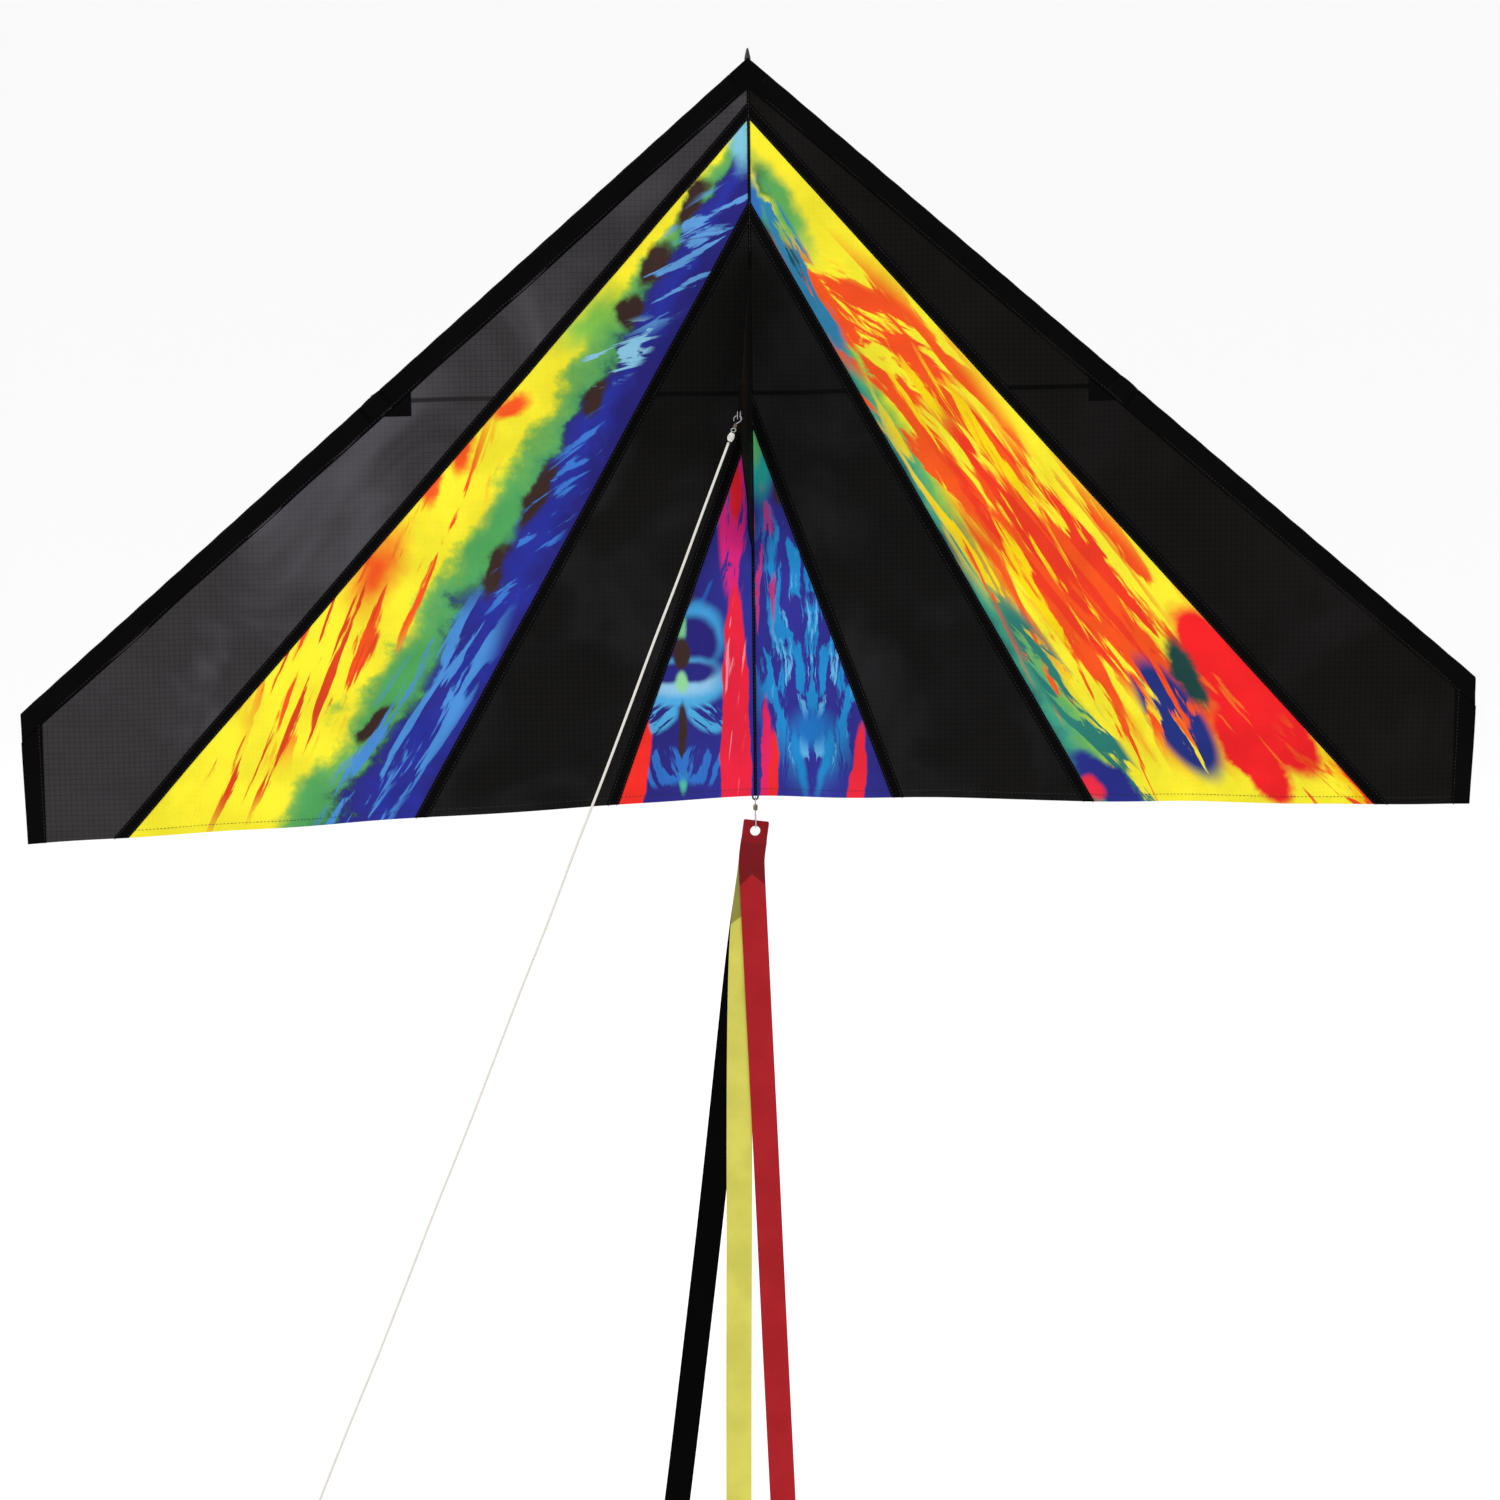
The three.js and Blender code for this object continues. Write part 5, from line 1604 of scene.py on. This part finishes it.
@dataclass
class Spine:
    """The nose cloth, the seam down the middle, the pocket behind it and the loop at its foot."""

    stitching: Stitching
    wardrobe: Wardrobe
    seam_half: float = 0.0014
    seam_front: float = -0.0005

    def build(self) -> None:
        """Makes the spine's cloth and dresses its hardware."""
        self.nose()
        self.seam()
        self.pocket()
        dress(["spine_rod", "spreader_rod"], self.wardrobe.rod)
        dress(["nose_cap", "spine_foot_cap", "tail_loop"], self.wardrobe.moulding)
        LOG.info("spine done")

    def nose(self) -> None:
        """Folds the nose cloth over both leading edges."""
        half = 0.0177
        lead = -SAIL.lead_way[1] / SAIL.lead_way[0]
        band = SAIL.lead_band / SAIL.lead_way[0]
        shells = []
        for sign in (-1, 1):
            side = sign * half
            outline = ((0.0, 0.0), (side, -half * lead), (side, -half * lead - band), (0.0, -band))
            shells.append(Shell(outline, -0.0012, 0.0026, 0.003))

        def puff(x: float, z: float) -> float:
            """The cloth's fullness over the cap."""
            return -0.0006 * math.cos(x / half * math.pi / 2) if abs(x) < half else 0.0

        piece = cloth("nose_cloth", shells, self.wardrobe.tape, puff)
        settle(piece, "spine", ["nose_patch"])

    def seam(self) -> None:
        """Binds the seam down the middle of the sail."""
        top = -SAIL.lead_band / SAIL.lead_way[0]
        half = self.seam_half
        outline = ((-half, top), (half, top), (half, -SAIL.spine), (-half, -SAIL.spine))
        shell = Shell(outline, self.seam_front, 0.00045, 0.0014)
        piece = cloth("spine_seam", [shell], self.wardrobe.tape, level)
        settle(piece, "spine", ["spine_strip"])
        row = [(0.0, self.seam_front - 0.0001, top + (-SAIL.spine - top) * i / 40) for i in range(41)]
        piece = self.stitching.sew("spine_stitches", [row], self.wardrobe.thread)
        settle(piece, "spine")

    def pocket(self) -> None:
        """Draws the pocket's cloth round the spine rod, its lips sewn to the sail's back."""
        low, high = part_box("spine_pocket")
        middle = (low[1] + high[1]) / 2
        radius = (high[1] - low[1]) / 2 - 0.0001
        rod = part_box("spine_rod")
        bore = (rod[1][1] - rod[0][1]) / 2 + 0.0002
        heights = np.linspace(high[2], low[2], 90)
        sections = []
        for z in heights:
            wave = 0.00012 * math.sin(z * 210)
            outer = [math.radians(t) for t in range(-70, 251, 20)]
            ring = [((radius + wave) * math.cos(t), middle + (radius + wave) * math.sin(t)) for t in outer]
            inner = [(bore * math.cos(t), middle + bore * math.sin(t)) for t in reversed(outer)]
            sections.append([(x, y, z) for x, y in ring + inner])
        piece = swept("pocket_cloth", [Run(sections, [high[2] - z for z in heights])], self.wardrobe.tape)
        settle(piece, "spine", ["spine_pocket"])


def level(x: float, z: float) -> float:
    """The depth of cloth that lies flat."""
    return 0.0


def inner_back(inner: Sequence[Spot]) -> list[Spot]:
    """The inside of a folded tape, from its back lip round to its front lip."""
    return [*[(i, -d) for i, d in inner], *reversed(inner)]


@dataclass
class Keel:
    """The triangular keel, drawn as reach from its hinge line and height."""

    stitching: Stitching
    wardrobe: Wardrobe
    axis_depth: float = -0.0016
    swing: float = -9.0
    top: float = -0.185
    foot: float = -0.490
    tow: Spot = (0.1445, -0.322)
    lobe: float = 0.006
    hole: float = 0.0035
    band: float = 0.008
    patch_start: float = 0.118
    row_lift: float = 0.0078
    row_depth: float = 0.00065

    def __post_init__(self) -> None:
        """Works out the keel's directions."""
        angle = math.radians(self.swing)
        self.reach_way = Vector((math.sin(angle), -math.cos(angle), 0))
        self.normal = Vector((math.cos(angle), math.sin(angle), 0))

    def place(self, reach: float, depth: float, z: float) -> Point:
        """Where a place on the keel's cloth stands in the row frame."""
        spot = Vector((0, self.axis_depth, z)) + self.reach_way * reach + self.normal * depth
        return tuple(spot)

    def wave(self, reach: float, z: float) -> float:
        """The soft waves of the keel's cloth, still at its tip."""
        calm = max(0.0, 1 - reach / self.patch_start)
        return 0.0014 * calm * min(1.0, reach / 0.02) * math.sin(z * 62 + reach * 30)

    def edges(self) -> tuple[list[Spot], list[Spot]]:
        """The front and rear edges, from the sail to the lobe at the tip."""
        lines = []
        for start, sign in ((self.top, 1), (self.foot, -1)):
            dx, dz = self.tow[0], self.tow[1] - start
            size = math.hypot(dx, dz)
            lean = math.asin(self.lobe / size) * sign
            angle = math.atan2(dz, dx) + lean
            run = math.sqrt(size ** 2 - self.lobe ** 2)
            lines.append([(0.0, start), (math.cos(angle) * run, start + math.sin(angle) * run)])
        return lines[0], lines[1]

    def at(self, line: Sequence[Spot], reach: float) -> Spot:
        """The place on an edge at a given reach."""
        (ax, az), (bx, bz) = line
        return (reach, az + (bz - az) * (reach - ax) / (bx - ax))

    def build(self) -> None:
        """Makes the keel's cloth, bindings, tip and stitching."""
        front, rear = self.edges()
        near, far = 0.0005, self.patch_start - 0.0003
        outline = (self.at(front, near), self.at(front, far), self.at(rear, far), self.at(rear, near))
        panel = cloth("keel_cloth", [Shell(outline, -0.00015, 0.0003, 0.005)], self.wardrobe.keel, self.wave,
                      self.place, lines=(0.001, 0.002, 0.003))
        polygon_area(outline)
        settle(panel, nodes=["keel_panel"])
        self.bend(panel)

        for label, line, sign in (("front", front, -1), ("rear", rear, 1)):
            self.binding(f"keel_{label}_tape", f"keel_{label}_binding", line, sign)
        self.tip(front, rear)
        rows = []
        for line, sign in ((front, -1), (rear, 1)):
            for depth in (-self.row_depth, self.row_depth):
                row = []
                for reach in np.linspace(0.012, far - 0.004, 60):
                    height = self.at(line, reach)[1] + self.row_lift * sign
                    row.append(self.place(reach, depth + self.wave(reach, height), height))
                rows.append(row)
        piece = self.stitching.sew("keel_stitches", rows, self.wardrobe.thread)
        settle(piece, "keel")
        dress(["tow_eyelet"], self.wardrobe.steel)
        LOG.info("keel done")

    def binding(self, name: str, node: str, line: Sequence[Spot], sign: int) -> None:
        """Folds a tape over one of the keel's edges.

        Args:
            name: the piece's name.
            node: the node that it stands for.
            line: the edge.
            sign: minus one where the keel lies below the edge.
        """
        (ax, az), (bx, bz) = line
        size = math.hypot(bx - ax, bz - az)
        inward = (-(bz - az) / size, (bx - ax) / size)
        if inward[1] * sign < 0:
            inward = (-inward[0], -inward[1])
        outer = [(self.band, 0.0006), (self.band * 0.5, 0.00065), (0.0004, 0.0006), (0.0, 0.0003)]
        inner = [(self.band, 0.0003), (self.band * 0.5, 0.0003), (0.0007, 0.0003), (0.0004, 0.00015)]
        ring = [*outer, *[(i, -d) for i, d in reversed(outer)], *inner_back(inner)]
        start, end = self.at(line, 0.008), self.at(line, self.patch_start - 0.0006)
        sections = []
        lengths = []
        for share in np.linspace(0, 1, 70):
            reach = start[0] + (end[0] - start[0]) * share
            height = start[1] + (end[1] - start[1]) * share
            section = []
            for along, depth in ring:
                r, z = reach + inward[0] * along, height + inward[1] * along
                section.append(self.place(r, depth + self.wave(r, z), z))
            sections.append(section)
            lengths.append(math.dist(start, end) * share)
        piece = swept(name, [Run(sections, lengths)], self.wardrobe.tape)
        settle(piece, "keel", [node])

    def bend(self, piece: Piece) -> None:
        """Bakes the cloth's placement into its mesh."""
        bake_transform(piece)

    def tip(self, front: Sequence[Spot], rear: Sequence[Spot]) -> None:
        """The doubled tip with its round end about the eyelet.

        Args:
            front: the keel's front edge.
            rear: its rear edge.
        """
        high, low = self.at(front, self.patch_start), self.at(rear, self.patch_start)
        (end_x, end_z), (start_x, start_z) = front[1], rear[1]
        start = math.atan2(start_z - self.tow[1], start_x - self.tow[0])
        end = math.atan2(end_z - self.tow[1], end_x - self.tow[0])
        arc = np.linspace(start, end, 14)
        rim = [(self.tow[0] + self.lobe * math.cos(t), self.tow[1] + self.lobe * math.sin(t)) for t in arc]
        outer = [high, low, *rim]
        turns = [2 * math.pi * i / 48 for i in range(48)]
        layers = []
        for side in (-1, 1):
            for share, thick in ((0.0, 0.0005), (0.5, 0.0008), (0.94, 0.0008), (1.0, 0.0005)):
                spots = (self.spoke(outer, turn, share) for turn in turns)
                layers.append([self.place(reach, side * thick, z) for reach, z in spots])
        piece = pierced("keel_tip_cloth", layers, (1, 2), self.wardrobe.tape)
        area = polygon_area(outer) - math.pi * self.hole ** 2
        settle(piece, "keel", ["keel_tip_patch"])

    def spoke(self, outer: Sequence[Spot], turn: float, share: float) -> Spot:
        """A place on a spoke from the eyelet's hole towards the tip's outline.

        Args:
            outer: the tip's outline.
            turn: the spoke's direction.
            share: zero at the hole, one at the outline.

        Returns:
            Reach and height.
        """
        dx, dz = math.cos(turn), math.sin(turn)
        reach = self.lobe
        for (ax, az), (bx, bz) in zip(outer, [*outer[1:], outer[0]]):
            ex, ez = bx - ax, bz - az
            cross = dx * ez - dz * ex
            if abs(cross) < 1e-12:
                continue
            t = ((ax - self.tow[0]) * ez - (az - self.tow[1]) * ex) / cross
            s = ((ax - self.tow[0]) * dz - (az - self.tow[1]) * dx) / cross
            if t > 0 and -1e-9 <= s <= 1 + 1e-9:
                reach = t
                break
        size = self.hole + (reach - self.hole) * share
        return (self.tow[0] + dx * size, self.tow[1] + dz * size)


@dataclass
class FlyingLine:
    """The braided line with its knots, taut from the keel to the lower left."""

    wardrobe: Wardrobe
    diameter: float = 0.0024
    route: tuple[Point, ...] = (
        (-0.0347, -0.1671, -0.3446), (-0.062, -0.218, -0.398), (-0.089, -0.270, -0.451),
        (-0.117, -0.322, -0.504), (-0.144, -0.373, -0.557), (-0.171, -0.424, -0.609),
        (-0.199, -0.476, -0.661), (-0.226, -0.528, -0.713), (-0.254, -0.579, -0.764),
        (-0.281, -0.630, -0.815), (-0.308, -0.682, -0.865), (-0.336, -0.734, -0.915),
        (-0.363, -0.785, -0.965), (-0.390, -0.837, -1.014), (-0.418, -0.888, -1.063),
        (-0.445, -0.940, -1.112),
    )

    def build(self) -> None:
        """Makes the line and both knots."""
        stops = [Vector(stop) for stop in self.route]
        path = smooth_path(stops, 12)
        piece = tube("line_braid", path, self.diameter / 2, self.wardrobe.braid, 10)
        near = self.knot("tie_knot", "line_knot", 5)
        end = self.knot("stop_knot", "line_end_knot", 4)
        length = sum((b - a).length for a, b in zip(path, path[1:]))
        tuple(self.route[0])
        [tuple(p) for p in path]
        settle(piece, nodes=["flying_line"])
        for item in (piece, near, end):
            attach(item, "line")
        dress(["tow_snap", "tow_eye"], self.wardrobe.steel)
        dress(["tow_barrel"], self.wardrobe.barrel)
        LOG.info("line done: %.3f m", length)

    def knot(self, name: str, node: str, turns: int) -> Piece:
        """Winds a knot of cord in the place of its node.

        Args:
            name: the piece's name.
            node: the node that it stands for.
            turns: how often the cord goes round.

        Returns:
            The knot.
        """
        low, high = (Vector(corner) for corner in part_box(node))
        middle = (low + high) / 2
        first, second = self.route[:2] if node == "line_knot" else self.route[-2:]
        way = (Vector(second) - Vector(first)).normalized()
        side = way.orthogonal().normalized()
        other = way.cross(side)
        span = (high - low).length * 0.44
        points = []
        steps = turns * 16
        for i in range(steps + 1):
            t = i / steps
            swell = 0.0011 + 0.0012 * math.sin(math.pi * t) ** 0.6
            angle = 2 * math.pi * turns * t
            spoke = side * math.cos(angle) + other * math.sin(angle)
            points.append(middle + way * (t - 0.5) * span + spoke * swell)
        tail = points[-1] + side * 0.003 - way * 0.002
        points += [points[-1].lerp(tail, 0.5) + other * 0.0006, tail]
        piece = tube(name, points, 0.0009, self.wardrobe.braid, 8)
        settle(piece, nodes=[node])
        return piece


@dataclass
class Tail:
    """The swivel's dressing, the tab and the three ribbons."""

    stitching: Stitching
    wardrobe: Wardrobe
    plane: float = 0.0017
    width: float = 0.0254
    step: float = 0.0013
    tilt: float = -8.0
    tab_half: float = 0.0125
    tab_above: float = 0.0069
    tab_below: float = 0.017
    hole: float = 0.005
    hole_drop: float = 0.0035
    tab_thick: float = 0.0016
    box_half: float = 0.0108
    box_top: float = 0.0105
    box_foot: float = 0.0155
    pivot: float = -0.753
    red: tuple[Spot, ...] = (
        (-0.0042, -0.795), (-0.001, -0.880), (0.005, -1.040), (0.011, -1.200), (0.017, -1.360),
        (0.0235, -1.534))
    yellow: tuple[Spot, ...] = (
        (-0.005, -0.792), (-0.014, -0.865), (-0.0185, -1.000), (-0.021, -1.200), (-0.0235, -1.400),
        (-0.025, -1.534))
    black: tuple[Spot, ...] = (
        (-0.006, -0.800), (-0.018, -0.883), (-0.036, -1.038), (-0.054, -1.192), (-0.076, -1.368),
        (-0.098, -1.532))

    def __post_init__(self) -> None:
        """Works out how the tab hangs."""
        angle = math.radians(self.tilt)
        self.down = Vector((-math.sin(-angle), 0, -math.cos(angle)))
        self.out = Vector((math.cos(angle), 0, math.sin(angle)))

    def on_tab(self, across: float, depth: float, drop: float) -> Vector:
        """A place on the tab: across it, behind its middle and below its pivot."""
        start = Vector((0, self.plane + depth, self.pivot))
        return start + self.out * across + self.down * drop

    def build(self) -> None:
        """Makes the tail."""
        self.tab()
        looks = (("red", self.red, self.wardrobe.red), ("yellow", self.yellow, self.wardrobe.yellow),
                 ("black", self.black, self.wardrobe.dark))
        for i, (word, route, look) in enumerate(looks):
            self.ribbon(word, route, look, i)
        dress(["tail_eye", "tail_snap"], self.wardrobe.steel)
        dress(["tail_barrel"], self.wardrobe.barrel)
        LOG.info("tail done")

    def tab(self) -> None:
        """The folded tab with its punched hole and a box of stitches."""
        turns = [2 * math.pi * (i + 0.5) / 64 for i in range(64)]
        layers = []
        for side in (-1, 1):
            for share, puff in ((0.0, 0.6), (0.12, 1.0), (0.5, 1.0), (0.9, 0.95), (1.0, 0.55)):
                spots = (self.tab_spoke(turn, share) for turn in turns)
                depth = side * self.tab_thick * puff
                layers.append([tuple(self.on_tab(across, depth, drop)) for across, drop in spots])
        piece = pierced("tab_cloth", layers, (0, 2), self.wardrobe.tab)
        settle(piece, "tail", ["tail_tab"])
        reach, high, low = self.box_half, self.box_top, self.box_foot
        box = [(-reach, high), (reach, high), (reach, low), (-reach, low), (-reach, high)]
        rows = [[tuple(self.on_tab(a, depth, d)) for a, d in box] for depth in (-0.00168, 0.00168)]
        piece = self.stitching.sew("tab_stitches", rows, self.wardrobe.red_thread)
        settle(piece, "tail")

    def tab_spoke(self, turn: float, share: float) -> Spot:
        """A place on a spoke from the hole to the tab's rounded square rim, as across and drop.

        Args:
            turn: the spoke's direction.
            share: zero at the hole, one at the rim.

        Returns:
            Across and drop.
        """
        dx, dz = math.cos(turn), math.sin(turn)
        reaches = []
        if abs(dx) > 1e-9:
            reaches.append(self.tab_half / abs(dx))
        if dz > 1e-9:
            reaches.append((self.tab_below - self.hole_drop) / dz)
        if dz < -1e-9:
            reaches.append((self.tab_above + self.hole_drop) / -dz)
        reach = self.hole + (min(reaches) - self.hole) * share
        return dx * reach, self.hole_drop + dz * reach

    def ribbon(self, word: str, route: Sequence[Spot], look: Material, layer: int) -> None:
        """Hangs one ribbon from the tab, with rolled edges and a slow wave.

        Args:
            word: its colour's word.
            route: middle of the ribbon below the tab.
            look: its finish.
            layer: its place from front to back.
        """
        seat = self.on_tab(0, 0, self.tab_below - 0.004)
        under = seat + self.down * self.width / 2
        stops = [seat, under, *[Vector((x, self.plane, z)) for x, z in route]]
        path = smooth_path(stops, 26)
        depth = (layer - 1) * self.step
        sections = []
        lengths = [0.0]
        for i, point in enumerate(path):
            if i:
                lengths.append(lengths[-1] + (point - path[i - 1]).length)
            way = (path[min(i + 1, len(path) - 1)] - path[max(i - 1, 0)]).normalized()
            side = Vector((-way.z, 0, way.x))
            if side.x < 0:
                side.negate()
            free = min(1.0, lengths[-1] / 0.25)
            wave = 0.0016 * free * math.sin(lengths[-1] * 15)
            twist = 0.03 * free * math.sin(lengths[-1] * 7 + 0.4)
            sections.append(self.ribbon_section(point, side, depth + wave, twist))
        piece = swept(f"{word}_ribbon_cloth", [Run(sections, lengths)], look)
        settle(piece, "tail", [f"ribbon_{word}"])
        LOG.info("%s ribbon: %.3f m", word, lengths[-1])

    def ribbon_section(self, point: Vector, side: Vector, depth: float, twist: float) -> list[Point]:
        """One section of a ribbon, a little thicker at its woven edges.

        Args:
            point: the ribbon's middle there.
            side: the way across it.
            depth: how far it is moved back.
            twist: how far it leans, for each metre across.

        Returns:
            The section's points.
        """
        half = self.width / 2
        shares = (-1.0, -0.965, -0.93, -0.6, -0.2, 0.2, 0.6, 0.93, 0.965, 1.0)
        fronts = (0.00012, 0.0003, 0.00015, 0.00014, 0.00014, 0.00014, 0.00014, 0.00015, 0.0003, 0.00012)
        ring = []
        for sign, order in ((-1, 1), (1, -1)):
            for share, thick in list(zip(shares, fronts))[::order]:
                spot = point + side * share * half
                spot.y += depth + sign * thick + share * half * twist
                ring.append(tuple(spot))
        return ring


@dataclass
class Studio:
    """Floor, lights and camera."""

    floor: float = -1.95
    aim: Point = (-0.0049, 0.0, -0.6751)
    distance: float = 5.862
    azimuth: float = -4.3
    elevation: float = 12.0
    roll: float = -0.61
    lens: float = 144.0
    lamps: tuple[tuple[str, Point, float, float], ...] = (
        ("key", (-3.8, -2.6, 2.6), 1.2, 90), ("fill", (3.2, -4.0, 0.4), 2.6, 15),
        ("back", (0.8, 4.0, 1.6), 2.0, 45),
    )

    def camera(self) -> None:
        """Sets the camera at the viewing angle."""
        az, el, ro = (math.radians(v) for v in (self.azimuth, self.elevation, self.roll))
        back = Vector((math.sin(az) * math.cos(el), -math.cos(az) * math.cos(el), math.sin(el)))
        right = (-back).cross(Vector((0, 0, 1))).normalized()
        up = right.cross(-back)
        across = right * math.cos(ro) + up * math.sin(ro)
        upright = up * math.cos(ro) - right * math.sin(ro)
        data = bpy.data.cameras.new("camera")
        data.lens = self.lens
        data.sensor_width = 36.0  # full frame, in millimetres
        camera = bpy.data.objects.new("camera", data)
        turn = Matrix((across, upright, back)).transposed().to_4x4()
        camera.matrix_world = Matrix.Translation(Vector(self.aim) + back * self.distance) @ turn
        bpy.context.scene.collection.objects.link(camera)
        bpy.context.scene.camera = camera

    def light(self, name: str, spot: Point, size: float, power: float) -> None:
        """Adds a soft square light that faces the kite.

        Args:
            name: the lamp's name.
            spot: where it stands.
            size: its side in metres.
            power: its power in watts.
        """
        data = bpy.data.lights.new(name, "AREA")
        data.size = size
        data.energy = power
        lamp = bpy.data.objects.new(name, data)
        lamp.location = spot
        lamp.rotation_euler = (Vector(self.aim) - Vector(spot)).to_track_quat("-Z", "Y").to_euler()
        bpy.context.scene.collection.objects.link(lamp)

    def build(self) -> None:
        """Makes the studio."""
        self.camera()
        for lamp in self.lamps:
            self.light(*lamp)
        bpy.context.scene.view_settings.view_transform = "Standard"
        world = bpy.data.worlds.new("studio")
        world.use_nodes = True
        world.node_tree.nodes["Background"].inputs[0].default_value = (1, 1, 1, 1)
        world.node_tree.nodes["Background"].inputs[1].default_value = 1.0
        bpy.context.scene.world = world
        bpy.ops.mesh.primitive_circle_add(vertices=96, radius=60, fill_type="NGON",
                                          location=(0, 0, self.floor))
        floor = bpy.context.object
        floor.name = "floor"
        material = bpy.data.materials.new("pale floor")
        material.use_nodes = True
        shader = material.node_tree.nodes["Principled BSDF"]
        shader.inputs["Base Color"].default_value = (0.95, 0.95, 0.95, 1)
        shader.inputs["Roughness"].default_value = 0.9
        floor.data.materials.append(material)


def main() -> None:
    """Builds the kite in order."""
    logging.basicConfig(level=logging.INFO, format="%(name)s: %(message)s")
    wardrobe = Wardrobe()
    stitching = Stitching()
    Studio().build()
    FlyingLine(wardrobe).build()
    for side in Side:
        Wing(side, stitching, wardrobe).build()
    for part in (Spine, Keel, Tail):
        part(stitching, wardrobe).build()


if __name__ == "__main__":
    main()
